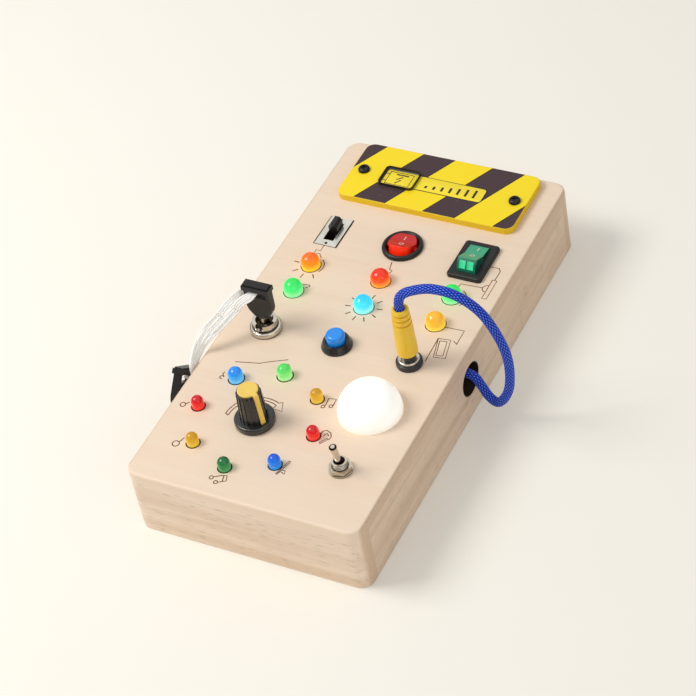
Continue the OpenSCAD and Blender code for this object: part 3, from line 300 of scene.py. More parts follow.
LEAD_DIAMETER = 3.8 * MM
lead_braid = braid("blue_braid", gap=colour(6, 20, 120), thread=colour(16, 62, 214),
                   shine=colour(136, 186, 252), strands=11, pitch=0.0022, depth=0.00022)
lead_line = route_through([
    (30.8, -13.9, 59.9), (30.8, -13.9, 63.6), (32.3, -14.0, 67.7), (36.6, -13.9, 71.3), (45.5, -13.3, 74.5),
    (55.5, -12.5, 73), (64, -11.3, 65.5), (69.2, -9.9, 52.5), (70.8, -8.3, 39.5), (69.2, -6.6, 25),
    (66, -5.5, 15.5), (61.5, -4.3, 9.5), (57.5, -3.6, 11), (54.6, -3.1, 15.5), (51.8, -2.7, 19.2),
    (46, -2.6, 21), (38, -2.6, 21)])
lead = sleeve("braided_lead", lead_line, LEAD_DIAMETER, lead_braid)
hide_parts("blue_lead")
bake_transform(lead)
run_of(lead_line)


# ---------------------------------------------------------------------------
# Tether of the spare key. Four thin white braided cords are hitched through
# the first key's slot, and their eight ends fan out over the case's left edge
# and run together again at the spare key, which hangs beside it.
STRAND = 1.0 * MM
tether_braid = braid("white_braid", gap=colour(246, 241, 230), thread=colour(255, 253, 247),
                     shine=colour(255, 255, 253), strands=6, pitch=0.0012, depth=0.00005, fuzz_and_glow=0.6)
OUTWARD = Vector((-0.8, 0, 0.6))
SIDEWAYS = Vector((0, 0.766, -0.643))
UPWARDS = Vector((0, 0.643, 0.766))
spare_slot = Vector((0, -44.73, 26.33))
ends = []
for k in range(4):
    step = k - 1.5
    slot_x = -32.7 - 1.05 * k
    near_end = Vector((-40.3, -20.0, 45.1)) + (0.9 * step - 0.3) * OUTWARD
    far_end = Vector((-44.2, -24.0, 42.6)) + (0.95 * step + 1.8) * OUTWARD
    loop_line = route_through([
        near_end, Vector((-38.3, -19.1, 47.1)) + (0.95 * step + 0.7) * OUTWARD,
        (slot_x - 1.6 - 0.1 * step, -17.2, 49.6 + 0.3 * step), (slot_x - 0.15, -15.5, 50.6),
        (slot_x, -12.9, 50.7), (slot_x - 0.5, -11.4, 50.5 + 0.3 * step),
        (-37.2, -10.8, 49.4 + 0.95 * step), (-39.7, -12.0, 48.6 + 0.95 * step),
        Vector((-41.2, -15.6, 47.7)) + (0.9 * step + 0.3) * OUTWARD,
        Vector((-42.6, -19.8, 45.6)) + (0.95 * step + 1.2) * OUTWARD, far_end])
    hitch = sleeve(f"tether_hitch_{k + 1}", loop_line, STRAND, tether_braid, 10)
    ends.append((near_end, -0.5 + 0.27 * step))
    ends.append((far_end, 0.5 + 0.33 * step))
    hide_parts("tether_loop")
    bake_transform(hitch)
    run_of(loop_line)
ends.sort(key=lambda end: end[1])


def beside(k, x, along, pitch):
    """A place of the k-th end at the spare key, where the ends lie side by side."""
    return spare_slot + Vector((x, 0, 0)) + (3.1 - pitch * k) * SIDEWAYS + along * UPWARDS


for k, (start, spread) in enumerate(ends):
    stray = 0.55 * math.sin(2.4 * k)
    drape_line = route_through([
        start, Vector((-46.5, -27.6 + stray, 40.3)) + (0.5 + 3.0 * spread) * OUTWARD,
        Vector((-49.4, -31.9 - stray, 36.7)) + (0.8 + 2.5 * spread) * OUTWARD,
        Vector((-51.6 - 1.2 * spread, -35.3 + stray, 33.3)) + (1.8 - 0.5 * k) * SIDEWAYS,
        beside(k, -51.2, 6.4, 0.8), beside(k, -51.2, 4.0, 0.65), beside(k, -51.2, 1.8, 0.42),
        beside(k, -51.95, 0.45, 0.27), beside(k, -53.4, -0.05, 0.24), beside(k, -55.2, 0, 0.24)])
    drape = sleeve(f"tether_cord_{k + 1}", drape_line, STRAND, tether_braid, 10)
    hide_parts("tether_drape")
    tuple(start * MM)
    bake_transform(drape)
    run_of(drape_line)
    ["spare_shank", "spare_head"] if k == 0 else []


# ---------------------------------------------------------------------------
# Case boards. Pale solid wood, planed and sanded smooth, with a clear satin
# lacquer; the top board has its edges rounded over, and the four side boards
# are glued under it. The grain runs across the top and along the sides.
def wood(name, pale, warm, along, contrast, streaks):
    """Lacquered wood whose grain runs along one axis of the object."""
    finish = Finish(name, {"Specular IOR Level": 0.4, "Coat Roughness": 0.32})
    rings = finish.noise(150, 3, finish.drawn_out(along, 0.055), 0.55, 0.6)
    fibres = finish.noise(900, 3, finish.drawn_out(along, 0.02), 0.6)
    clouds = finish.noise(18, 2)
    pores = finish.ease(finish.noise(1500, 1, finish.drawn_out(along, 0.02)), 0.66, 0.78)
    tone = finish.ease(rings, 0.5 - streaks, 0.5 + streaks) * contrast + (clouds - 0.5) * 0.5 * contrast
    ground = finish.mix(tone, pale, warm)
    dark = tuple(0.80 * c for c in warm)
    ground = finish.mix((fibres - 0.5) * 0.9 * contrast, ground, dark)
    ground = finish.mix(pores * 0.22 * contrast, ground, dark)
    flecks = finish.ease(finish.noise(1300, 2, finish.drawn_out(along, 0.13)), 0.56, 0.70)
    ground = finish.mix(flecks * max(0.0, 1.9 * (contrast - 0.6)), ground, tuple(0.62 * c for c in warm))
    finish.cover(base=ground, rough=0.47 + 0.16 * (fibres - 0.5) + 0.10 * rings, coat=0.18 + 0.12 * clouds,
                 bump=finish.bump(fibres * 0.5 + rings * 0.35 - pores * 0.5, 0.00006))
    return finish


def end_grained(finish):
    """Shows the cut ends of the grain on the two long sides, darker and mottled."""
    cut = finish.mix(finish.noise(1100, 3), colour(226, 199, 170), colour(196, 165, 134))
    at_the_sides = finish.ease(abs(finish.axes()[0]), 0.0486, 0.0498)
    return finish.cover(base=finish.mix(at_the_sides, finish.tone, cut))


side_pale, side_warm = colour(230, 205, 178), colour(208, 178, 147)
top_wood = wood("top_wood", colour(241, 220, 196), colour(235, 209, 181), 0, 0.55, 0.36)
end_grained(top_wood).on("top_board")
wood("side_wood", side_pale, side_warm, 1, 0.8, 0.22).on("board_left")
holed = wood("holed_side_wood", side_pale, side_warm, 1, 0.8, 0.22).on("board_right")
HOLE_Y, HOLE_Z = -0.0026, 0.0172
_, at_y, at_z = holed.axes()
from_hole = ((at_y - HOLE_Y) ** 2 + (at_z - HOLE_Z) ** 2) ** 0.5
# The wall of the lead's hole and a thin rim round it go dark brown: a charred edge, and painted shade inside
# the hole.
char_and_hole_shade = 1 - holed.ease(from_hole, 0.00715, 0.0074)
holed.cover(base=holed.mix(char_and_hole_shade, holed.tone, colour(44, 27, 19)))
end_wood = wood("end_wood", colour(243, 221, 198), colour(224, 195, 166), 0, 0.85, 0.2)
end_grained(end_wood).on("board_near", "board_far")


# ---------------------------------------------------------------------------
# Engraved lines. Thin brown lines burnt into the lacquered top by a laser:
# short wires and generic marks beside the switches, small musical notes round
# the selector, and round each lamp hole a dark ring that is a charred edge and
# painted shade in the gap round the lens.
TOP = 31.0
LAMP_COLUMNS = (-31.6, 0, 31.6)
LAMP_ROWS = (24.3, 8.6)
RING_X, RING_Y, RING_RADIUS = -13, -60.4, 25.2
WIDE_LAMP, LIT_RING_LAMP, RING_LAMP = 4.0, 3.0, 2.5
burnt = Finish("burnt_line", {"Specular IOR Level": 0.2})
scorch = burnt.noise(1400, 2)
burnt.cover(base=burnt.mix(burnt.ease(scorch, 0.3, 0.7), colour(92, 62, 42), colour(138, 100, 72)),
            rough=0.8 + 0.1 * scorch, bump=burnt.bump(scorch, 0.00005))


def arc(x, y, radius, first, last, steps=14):
    """Points on a circle, from one angle to another in degrees."""
    turns = [math.radians(first + (last - first) * k / steps) for k in range(steps + 1)]
    return [(x + radius * math.cos(turn), y + radius * math.sin(turn)) for turn in turns]


def engrave(name, strokes, width=0.36, level=TOP, proud=0.05, finish=burnt, body="case"):
    """Lines in the plane of the top, in millimetres: round strokes, pressed nearly flat."""
    curve = bpy.data.curves.new(name, "CURVE")
    curve.dimensions = "3D"
    curve.bevel_depth = width / 2 * MM
    curve.bevel_resolution = 2
    curve.use_fill_caps = True
    for stroke in strokes:
        line = curve.splines.new("POLY")
        line.points.add(len(stroke) - 1)
        for point, spot in zip(line.points, stroke):
            point.co = (spot[0] * MM, spot[1] * MM, 0, 1)
    piece = bpy.data.objects.new(name, curve)
    bpy.context.scene.collection.objects.link(piece)
    bpy.ops.object.select_all(action="DESELECT")
    piece.select_set(True)
    bpy.context.view_layer.objects.active = piece
    bpy.ops.object.convert(target="MESH")
    piece.scale = (1, 1, 2 * proud / width)
    piece.location = (0, 0, level * MM)
    bpy.ops.object.transform_apply(location=True, rotation=True, scale=True)
    piece.data.materials.clear()
    piece.data.materials.append(finish.material)
    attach(piece, body)
    return piece


engrave("engraved_wires", [
    [(-31.9, 36.8), (-31.7, 33.3), (-33.9, 33.4), (-33.6, 31.0), (-31.3, 31.6), (-29.6, 29.6)],
    arc(-31.6, 24.3, 5.4, 55, -28, 10),
    [(-0.5, 35.9), (0.4, 31.8), (1.8, 31.1), (0.9, 28.6)],
    [(-28.0, 11.6), (-26.4, 12.9), (-27.1, 13.7), (-30.1, 13.2)],
    [(38.9, 45.1), (42.8, 45.3), (43.9, 43.7), (43.8, 38.4)],
    [(42.9, 38.4), (44.8, 38.3), (44.8, 27.6), (42.9, 27.6), (42.9, 38.4)],
    arc(42.8, 33.1, 1.9, 92, 268, 10),
    [(40.9, 33.1), (31.6, 32.6), (31.2, 29.6)],
    arc(31.6, 24.3, 5.6, 62, -35, 12),
    [(35.9, 8.4), (43.9, 8.7), (44.0, 1.5)],
    [(42.2, 2.3), (44.2, 1.0)],
    [(35.8, 1.9), (40.9, 2.4), (43.0, -7.4), (38.2, -8.1), (35.8, 1.9)],
    [(36.9, 0.9), (39.9, 1.2), (41.5, -6.4), (38.7, -6.9), (36.9, 0.9)],
    [(35.8, 1.9), (36.1, -11.3)],
    [(-35.8, -34.4), (-30.5, -33.2), (-25.8, -32.1), (-22.4, -30.1), (-15.9, -26.9)]], 0.4)
engrave("engraved_rays", [
    [(x + 5.5 * math.cos(a), y + 5.5 * math.sin(a)), (x + 7.9 * math.cos(a), y + 7.9 * math.sin(a))]
    for x, y, spread in ((-31.6, 24.3, (178, 222, 262, 304)), (0, 8.6, range(8, 360, 36)))
    for a in (math.radians(d) for d in spread)], 0.5)


ring_lamps = []
for k in range(8):
    turn = math.radians(135 - 45 * k)
    ring_lamps.append((RING_X + RING_RADIUS * math.cos(turn), RING_Y + RING_RADIUS * math.sin(turn),
                       LIT_RING_LAMP if k < 2 else RING_LAMP))
# Dark rims: partly a charred edge, partly painted shade in the gap round a lens or plate.
char_and_gap_shade = Finish("dark_rim_char_and_shade", {"Specular IOR Level": 0.2})
char_and_shade_mottle = char_and_gap_shade.noise(1800, 2)
char_and_gap_shade.cover(base=char_and_gap_shade.mix(char_and_shade_mottle, colour(34, 20, 15), colour(62, 40, 30)), rough=0.75 + 0.15 * char_and_shade_mottle,
              bump=char_and_gap_shade.bump(char_and_shade_mottle, 0.00004))
engrave("wide_lamp_hole_edges",
        [arc(x, y, WIDE_LAMP + 0.12, 0, 360, 48) for x in LAMP_COLUMNS for y in LAMP_ROWS],
        0.42, finish=char_and_gap_shade)
engrave("ring_lamp_hole_edges", [arc(x, y, r + 0.2, 0, 360, 40) for x, y, r in ring_lamps],
        0.58, finish=char_and_gap_shade)


def beamed(x, y, size=1.0):
    """Two plain notes under one beam, drawn about the first note's head."""
    stems = [(x + across * size, y + along * size)
             for across, along in ((0.7, 0.9), (0.3, 4.7), (3.3, 5.3), (3.6, 1.9))]
    heads = [arc(x + across * size, y + along * size, 0.75 * size, 0, 360, 10)
             for across, along in ((0, 0.2), (2.9, 1.3))]
    return [stems] + heads


def flute(x, y, turn, length):
    """A plain long pipe mark: two close lines and its closed ends."""
    ahead = (math.cos(math.radians(turn)), math.sin(math.radians(turn)))
    beside_it = (-0.35 * ahead[1], 0.35 * ahead[0])
    low = [(x + beside_it[0], y + beside_it[1]), (x - beside_it[0], y - beside_it[1])]
    high = [(px + length * ahead[0], py + length * ahead[1]) for px, py in low]
    return [[low[0], high[0], high[1], low[1], low[0]]]


engrave("engraved_sound_marks",
        [arc(-44.6, -61.5, 1.1, 0, 360, 12), [(-43.6, -60.7), (-42.6, -59.6)],
         arc(-37.2, -80.6, 1.4, 0, 360, 12), [(-36.3, -79.4), (-35.4, -76.9)],
         arc(-15.6, -91.6, 0.8, 0, 360, 10), arc(-12.9, -93.2, 0.8, 0, 360, 10),
         [(-14.9, -91.1), (-12.3, -89.5), (-10.2, -88.9), (-9.3, -91.4), (-12.1, -93.0)],
         [(-11.4, -89.3), (-10.6, -92.1)],
         [(7.6, -81.7), (8.2, -79.8), (9.8, -79.6), (10.2, -81.3), (8.7, -80.7)],
         [(14.4, -58.6), (14.3, -57.0), (15.6, -56.0), (17.6, -56.7), (18.7, -58.3), (18.6, -60.1),
          (17.7, -59.9)],
         [(15.7, -58.9), (16.5, -57.4), (17.6, -58.4)],
         arc(-36.9, -43.6, 0.8, 20, 300, 8), [(-36.2, -43.2), (-37.4, -41.7), (-37.0, -40.7)],
         [(-15.6, -31.1), (-14.9, -29.0), (-13.6, -30.0)]]
        + flute(7.3, -82.1, 74, 7.6) + flute(16.0, -62.8, 57, 3.4) + beamed(8.6, -45.5), 0.46)
engrave("engraved_turn_arrow", [
    arc(-13.6, -60.7, 12.6, 178, 67, 24), arc(-13.6, -60.7, 11.2, 181, 66, 24),
    [(-26.2, -60.3), (-24.8, -60.9)],
    [(-8.7, -49.1), (-7.2, -48.3), (-5.5, -52.7), (-9.7, -52.4), (-9.0, -50.5)]], 0.44)


# ---------------------------------------------------------------------------
# Back. A thin plywood board let into the four side boards and held by six
# small zinc plated screws.
wood("ply_wood", colour(226, 199, 164), colour(198, 163, 122), 1, 0.9, 0.26).on("back_board")


def metal(name, shade, rough, along=None, scratch=0.00001):
    """Plated or plain metal with the faint lines of its making along one axis."""
    finish = Finish(name, {"Metallic": 1.0})
    lines = finish.noise(2600, 2, finish.drawn_out(along, 0.04))
    dull = finish.noise(190, 3)
    dark = tuple(0.86 * c for c in shade)
    finish.cover(base=finish.mix(finish.ease(dull, 0.35, 0.75), shade, dark),
                 rough=rough + 0.12 * (dull - 0.4) + 0.10 * (lines - 0.5),
                 bump=finish.bump(lines, scratch))
    return finish


def from_axis(finish, centre):
    """How far a point is from an upright axis, in metres, and its height."""
    x, y, z = finish.axes()
    aside, ahead = x - centre[0], y - centre[1]
    return (aside * aside + ahead * ahead) ** 0.5, z


def paint_metal_shade(finish, *masks):
    """Paints shade on a metal where the masks are 1, in its corners, gaps and bores; also dark reflections.
    """
    tone = finish.tone
    for mask in masks:
        tone = finish.mix(mask, tone, colour(58, 48, 38))
    finish.cover(base=tone)


metal("zinc_plate", colour(206, 209, 212), 0.34).on("back_screws", "door_screw", "panel_nuts")


# ---------------------------------------------------------------------------
# Inside. A black battery case with three AAA cells and a screwed door under
# the sign, and a green circuit board on brass pillars near the other end.
def moulded(name, shade, rough, grain=3200, depth=0.00002, fixed=None, coat=None):
    """Moulded plastic: a fine skin, a slight unevenness and a few rubbed spots."""
    finish = Finish(name, dict({"Specular IOR Level": 0.5}, **(fixed or {})))
    skin = finish.noise(grain, 2)
    uneven = finish.noise(120, 2)
    rubbed = finish.ease(finish.noise(420, 3), 0.58, 0.75)
    light = tuple(min(1.0, 1.22 * c + 0.006) for c in shade)
    finish.cover(base=finish.mix(0.55 * uneven + 0.35 * rubbed, shade, light),
                 rough=rough + 0.10 * (skin - 0.5) + 0.08 * (uneven - 0.5) - 0.05 * rubbed,
                 bump=finish.bump(skin + 0.6 * uneven, depth), coat=coat)
    return finish


moulded("black_case_plastic", colour(38, 38, 40), 0.46).on("battery_case", "battery_door")
cell = Finish("cell_sleeve", {"Specular IOR Level": 0.5})
cell_band = (cell.axes()[0] * 130 + 0.35).run("FRACT")
cell_print = cell.noise(300, 2)
cell_gold = cell.mix(cell_print, colour(206, 166, 62), colour(220, 184, 84))
cell.cover(base=cell.mix(cell_band > 0.72, cell_gold, colour(34, 33, 36)),
           rough=0.3 + 0.1 * cell_print, bump=cell.bump(cell_print, 0.00001)).on("battery_cells")
board = Finish("solder_mask", {"Specular IOR Level": 0.5})
track = board.put("ShaderNodeTexBrick", {"offset": 0.37}, {
    "Vector": board.place(), "Scale": 260.0, "Mortar Size": 0.05,
    "Color1": (0.0, 0.0, 0.0), "Color2": (0.1, 0.1, 0.1), "Mortar": (1.0, 1.0, 1.0)}, "Fac")
mask_noise = board.noise(500, 2)
mask_green = board.mix(mask_noise, colour(20, 88, 54), colour(26, 104, 62))
board.cover(base=board.mix(track * 0.8, mask_green, colour(52, 140, 92)),
            rough=0.32 + 0.12 * mask_noise, bump=board.bump(track, 0.00003)).on("circuit_board")
metal("brass", colour(206, 172, 96), 0.3, 2).on("board_pillars")


# ---------------------------------------------------------------------------
# Sign plate. A yellow plastic plate with rounded edges and dark slanting
# stripes printed between thin black lines, held by two black cross screws.
STRIPE_LEAN = 0.53
STRIPE_PITCH = 0.03155
STRIPE_HALF = 0.00710
STRIPE_X, STRIPE_Y = 0.01605, 0.08095
SIGN_FACE = 0.03392
sign = Finish("striped_sign", {"Specular IOR Level": 0.3})
sign_x, sign_y, sign_z = sign.axes()
slant = (sign_x - STRIPE_LEAN * (sign_y - STRIPE_Y) - STRIPE_X) / STRIPE_PITCH
offset = abs((slant + 0.5).run("FRACT") - 0.5) * STRIPE_PITCH
on_top = sign_z > SIGN_FACE
ink = (offset < STRIPE_HALF) * on_top
line = (abs(offset - STRIPE_HALF) < 0.00024) * on_top
print_grain = sign.noise(2400, 2)
sheet_tone = sign.noise(60, 2)
scuff = sign.ease(sign.noise(900, 4, sign.place(scale=(1, 0.2, 1))), 0.66, 0.8)
yellow = sign.mix(sheet_tone, colour(254, 222, 14), colour(255, 228, 32))
yellow = sign.mix((1 - on_top) * 0.55, yellow, colour(222, 170, 22))
dark_print = sign.mix(print_grain, colour(62, 44, 48), colour(74, 56, 58))
tone = sign.mix(ink, yellow, dark_print)
tone = sign.mix(line, tone, colour(22, 16, 18))
sign.cover(base=sign.mix(scuff * 0.10, tone, colour(240, 232, 205)),
           rough=0.42 + 0.14 * ink + 0.10 * (print_grain - 0.5), coat=0.12 - 0.06 * ink,
           bump=sign.bump(ink * 0.5 + 0.3 * print_grain, 0.00003)).on("sign_plate")
oxide_black = moulded("oxide_black", colour(26, 25, 26), 0.34, 2600, 0.00001, {"Metallic": 0.35})
oxide_black.on("sign_screws")


def plate(name, size, middle, corner, edge, finish, body="case"):
    """A thin plate with rounded corners and a fine broken edge, from a cube."""
    bpy.ops.object.select_all(action="DESELECT")
    bpy.ops.mesh.primitive_cube_add(size=1, location=tuple(m * MM for m in middle))
    piece = bpy.context.object
    piece.name = name
    piece.scale = tuple(s * MM for s in size)
    bpy.ops.object.transform_apply(location=True, rotation=True, scale=True)
    for upright, offset_by, segments in ((True, corner, 6), (False, edge, 2)):
        bpy.ops.object.mode_set(mode="EDIT")
        bpy.ops.mesh.select_all(action="DESELECT")
        bpy.ops.object.mode_set(mode="OBJECT")
        top = max(v.co.z for v in piece.data.vertices)
        for link in piece.data.edges:
            a, b = (piece.data.vertices[i].co for i in link.vertices)
            if upright:
                link.select = abs(a.z - b.z) > 0.5 * size[2] * MM
            else:
                link.select = min(a.z, b.z) > top - 1e-7
        bpy.ops.object.mode_set(mode="EDIT")
        bpy.ops.mesh.select_mode(type="EDGE")
        bpy.ops.mesh.bevel(offset=offset_by * MM, segments=segments, affect="EDGES")
        bpy.ops.object.mode_set(mode="OBJECT")
    bpy.ops.object.shade_smooth_by_angle(angle=math.radians(35))
    piece.data.materials.append(finish.material)
    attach(piece, body)


tag_line = moulded("sign_ink", colour(30, 22, 20), 0.42, 2400, 0.00001)
tag_yellow = moulded("sign_tag_yellow", colour(253, 222, 44), 0.38, 2400, 0.00001)
plate("tag_line_left", (15.8, 10.8, 0.12), (-17.2, 79.6, 34.04), 1.6, 0.03, tag_line)
plate("tag_line_right", (31.2, 8.6, 0.12), (5.6, 79.9, 34.04), 1.6, 0.03, tag_line)
plate("tag_left", (15.1, 10.1, 0.16), (-17.2, 79.6, 34.07), 1.3, 0.04, tag_yellow)
plate("tag_right", (31.2, 7.9, 0.16), (5.25, 79.9, 34.07), 1.3, 0.04, tag_yellow)
TAG_FACE = 34.15
tag_frame = [
    [(-22.6, 83.2), (-12.0, 83.2), (-12.0, 76.0), (-22.6, 76.0), (-22.6, 83.2)],
    [(-22.8, 81.6), (-24.2, 81.6)], [(-22.8, 77.6), (-24.2, 77.6)]]
tag_levels = [[(-4.6 + 3.6 * k, 77.6), (-4.6 + 3.6 * k, 79.0 + 0.55 * k)] for k in range(7)]
for name, strokes, width, proud in (
        ("tag_marks", tag_frame, 0.4, 0.05),
        ("tag_bolt", [[(-16.2, 81.0), (-18.6, 79.2), (-16.4, 79.0), (-18.4, 76.9)]], 0.75, 0.06),
        ("tag_bar", [[(-19.6, 82.1), (-14.0, 82.1)]], 0.7, 0.06),
        ("tag_levels", tag_levels, 1.1, 0.06)):
    engrave(name, strokes, width, TAG_FACE, proud, tag_line)


# ---------------------------------------------------------------------------
# Slide switch. A bright steel face and frame above a brown laminate body, with
# a plain black plastic slider in its slot.
metal("bright_steel", colour(232, 229, 218), 0.24, 1).on("slide_face")
# Two dark lines along the slot beside the steel face: painted shade in the gaps round it.
engrave("slide_cutout_gap_shade", [[(-36.5, 37.6), (-36.5, 47.4)], [(-26.7, 37.4), (-26.7, 53.9)]],
        0.55, finish=char_and_gap_shade)
laminate = Finish("laminate", {"Specular IOR Level": 0.4})
paper = laminate.noise(700, 4, laminate.place(scale=(1, 1, 6)))
laminate.cover(base=laminate.mix(paper, colour(120, 76, 44), colour(146, 98, 58)), rough=0.5 + 0.2 * paper,
               bump=laminate.bump(paper, 0.00003)).on("slide_body")
moulded("slider_black", colour(15, 14, 14), 0.42, 2800, 0.00001).on("slide_knob")


# ---------------------------------------------------------------------------
# Rocker switches. Black moulded bezels set in the top, each with a tinted
# rocker lit from inside, marked with a white bar and ring.
bezel_black = moulded("bezel_black", colour(20, 18, 18), 0.4, 2600, 0.00001, {"Specular IOR Level": 0.4})
bezel_black.on("round_housing", "rect_housing")


def tinted(name, side, face, front, glow):
    """Clear tinted plastic, lit by its own lamp. Its lighter top and brighter front are painted light, picked
    by the way each face points.
    """
    finish = Finish(name, {"Specular IOR Level": 0.35, "Coat Roughness": 0.15, "Emission Strength": glow})
    facing = finish.axes("Normal")
    ahead = finish.ease(facing[1] * -1, 0.35, 0.75)
    above = finish.ease(facing[2], 0.5, 0.9)
    swirl = finish.noise(500, 2)
    fine = finish.noise(3000, 2)
    # Painted light: faces that point up get the lighter face colour, faces that point forward the bright
    # front colour.
    shade = finish.mix(ahead, finish.mix(above, side, face), front)
    shade = finish.mix(finish.ease(swirl, 0.45, 0.7) * 0.3, shade, tuple(0.72 * c for c in face))
    finish.cover(base=shade, rough=0.3 + 0.12 * fine, coat=0.12 + 0.1 * swirl, glow=shade,
                 bump=finish.bump(fine, 0.00001))
    return finish


tinted("red_tint", colour(150, 10, 10), colour(172, 26, 26), colour(238, 40, 8), 0.4).on("round_rocker")
tinted_green = tinted("green_tint", colour(5, 56, 44), colour(62, 150, 114), colour(8, 92, 68), 0.3)
tinted_green.on("rect_rocker")
rocker_low, rocker_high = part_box("rect_rocker")
housing_low, housing_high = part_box("rect_housing")
rocker_x = (rocker_low.x + rocker_high.x) / 2
rocker_y = (housing_low.y + housing_high.y) / 2
pivot_z = 0.0315
tilt = math.radians(18)
# Two lit panes, high on the front of the green rocker and leaning with it.
at_x, at_y, at_z = tinted_green.axes()
ahead_of = (at_y - rocker_y) * math.cos(tilt) - (at_z - pivot_z) * math.sin(tilt)
up_from = (at_y - rocker_y) * math.sin(tilt) + (at_z - pivot_z) * math.cos(tilt)
pane = ((abs(abs(at_x - rocker_x) - 0.0017) < 0.00138) * (abs(up_from - 0.0018) < 0.00164)
        * (abs(ahead_of + 0.0072) < 0.0009))
mottle = tinted_green.noise(900, 3)
mint = tinted_green.mix(mottle, colour(26, 186, 128), colour(96, 226, 178))
teal = tinted_green.mix(pane, tinted_green.tone, mint)
tinted_green.cover(base=teal, glow=teal)
white_mark = moulded("white_marking", colour(238, 228, 216), 0.5, 2400, 0.00001)


def lay_on(piece, node):
    """Drops a mark drawn at z = 0 on the face of the CAD part below it."""
    for vertex in piece.data.vertices:
        hit, spot, _, _ = nodes[node].ray_cast(Vector((vertex.co.x, vertex.co.y, 0.1)), Vector((0, 0, -1)))
        if hit:
            vertex.co.z += spot.z


bpy.context.view_layer.update()
for name, node, slot, strokes in (
        ("red_bar_and_ring", "round_rocker", "red_rocker", [
            [(0.0, 47.1), (0.1, 49.0)], arc(0.4, 43.9, 0.85, 0, 360, 14)]),
        ("green_bar_and_ring", "rect_rocker", "green_rocker", [
            [(31.9, 49.0), (32.0, 50.9)], arc(31.7, 44.9, 0.9, 0, 360, 14)])):
    lay_on(engrave(name, strokes, 0.34, 0.0, 0.04, white_mark, node), node)


# ---------------------------------------------------------------------------
# Lamps. Round-nosed lenses of tinted clear plastic pushed up through holes in
# the top: six wide lit ones above, and eight small ones in the ring, where
# two are lit.
def lens(name, deep, shade, pale, glow, low, high):
    """A moulded lamp lens, paler towards the foot. On a lit lens its own light gathers there; on an unlit
    lens the pale foot and the glow are painted light.
    """
    finish = Finish(name, {"Specular IOR Level": 0.35, "Coat Roughness": 0.08, "Emission Strength": glow})
    height = finish.axes()[2]
    milk = finish.noise(380, 2)
    fine = finish.noise(2500, 2)
    foot = 1 - finish.ease(height + (milk - 0.5) * 0.0008, low * MM, high * MM)
    body = finish.mix(finish.ease(height + (milk - 0.5) * 0.001, high * MM, (high + 2.2) * MM), shade, deep)
    body = finish.mix(foot, body, pale)
    finish.cover(base=body, glow=body, rough=0.16 + 0.10 * fine, coat=0.28 + 0.2 * milk,
                 bump=finish.bump(milk + 0.2 * fine, 0.00002))
    return finish


# The last four, the plain ring lenses, are unlit: their glow is painted light.
LENSES = (
    ("lens_orange", "led_orange", (226, 96, 4), (236, 132, 6), (244, 196, 34), 0.5, 31.4, 34.6),
    ("lens_red", "led_red", (212, 40, 10), (230, 74, 10), (242, 156, 44), 0.5, 31.2, 34.4),
    ("lens_cyan", "led_cyan", (26, 170, 216), (56, 208, 232), (140, 238, 236), 0.6, 31.4, 35.2),
    ("lens_amber", "led_amber", (222, 162, 40), (232, 180, 46), (242, 210, 76), 0.5, 31.4, 34.0),
    ("lens_green", "leds_green", (36, 200, 84), (64, 224, 112), (140, 236, 158), 0.55, 31.4, 34.6),
    ("ring_blue_bright", "ring_blue_lit", (26, 122, 214), (48, 158, 232), (112, 194, 240), 0.5, 31.2, 34.0),
    ("ring_green_bright", "ring_green_lit", (74, 192, 84), (120, 220, 116), (168, 236, 150), 0.5, 31.2, 34.0),
    ("ring_yellow_plain", "ring_yellow", (186, 134, 12), (218, 168, 22), (232, 196, 66), 0.32, 31.2, 34.0),
    ("ring_red_plain", "ring_red", (182, 10, 18), (224, 22, 20), (238, 54, 40), 0.4, 31.2, 34.0),
    ("ring_blue_plain", "ring_blue", (4, 80, 196), (6, 116, 224), (50, 150, 236), 0.35, 31.2, 34.0),
    ("ring_green_plain", "ring_green", (12, 92, 42), (30, 124, 62), (76, 162, 94), 0.3, 31.2, 34.0))
for name, node, deep, middle, pale, glow, low, high in LENSES:
    lens(name, colour(*deep), colour(*middle), colour(*pale), glow, low, high).on(node)


# ---------------------------------------------------------------------------
# Key lock and its two keys. A turned, chrome plated lock through the top with
# its nut below; the keys are nickel plated with black moulded heads.
LOCK_AXIS = (-0.0324, -0.0139)
POLISHED = 0.000004
metal("chrome", colour(206, 200, 190), 0.13, 2, POLISHED).on("jack_ring")
lock_chrome = metal("lock_chrome", colour(214, 206, 194), 0.1, 2, POLISHED).on("lock_body", "lock_rotor")
lock_out, lock_z = from_axis(lock_chrome, LOCK_AXIS)
# Painted shade on the lock: at its foot on the top, in the recess of its collar and down its bore.
paint_metal_shade(lock_chrome, 1 - lock_chrome.ease(lock_z, 0.0311, 0.0318),
        (1 - lock_chrome.ease(lock_out, 0.0050, 0.0058)) * (1 - lock_chrome.ease(lock_z, 0.0336, 0.0343)),
        (1 - lock_chrome.ease(lock_out, 0.0035, 0.0041)) * (1 - lock_chrome.ease(lock_z, 0.0352, 0.0360)))
metal("nickel", colour(214, 204, 188), 0.22, 2).on("key_shank", "spare_shank", "plug_pin")
key_black = moulded("key_black", colour(19, 18, 18), 0.4, 2400, 0.00001, {"Specular IOR Level": 0.4})
key_black.on("key_head", "spare_head")


# ---------------------------------------------------------------------------
# Push button. A glossy black housing held by a nut below the top, with a blue
# round-edged cap on a steel spring.
moulded("button_black", colour(30, 30, 33), 0.22, 2400, 0.00001).on("push_housing")
button_blue = moulded("button_blue", colour(5, 138, 238), 0.24, 2400, 0.00001, {"Coat Roughness": 0.08}, 0.3)
button_blue.on("push_cap")
metal("spring_steel", colour(196, 196, 194), 0.3).on("push_spring")


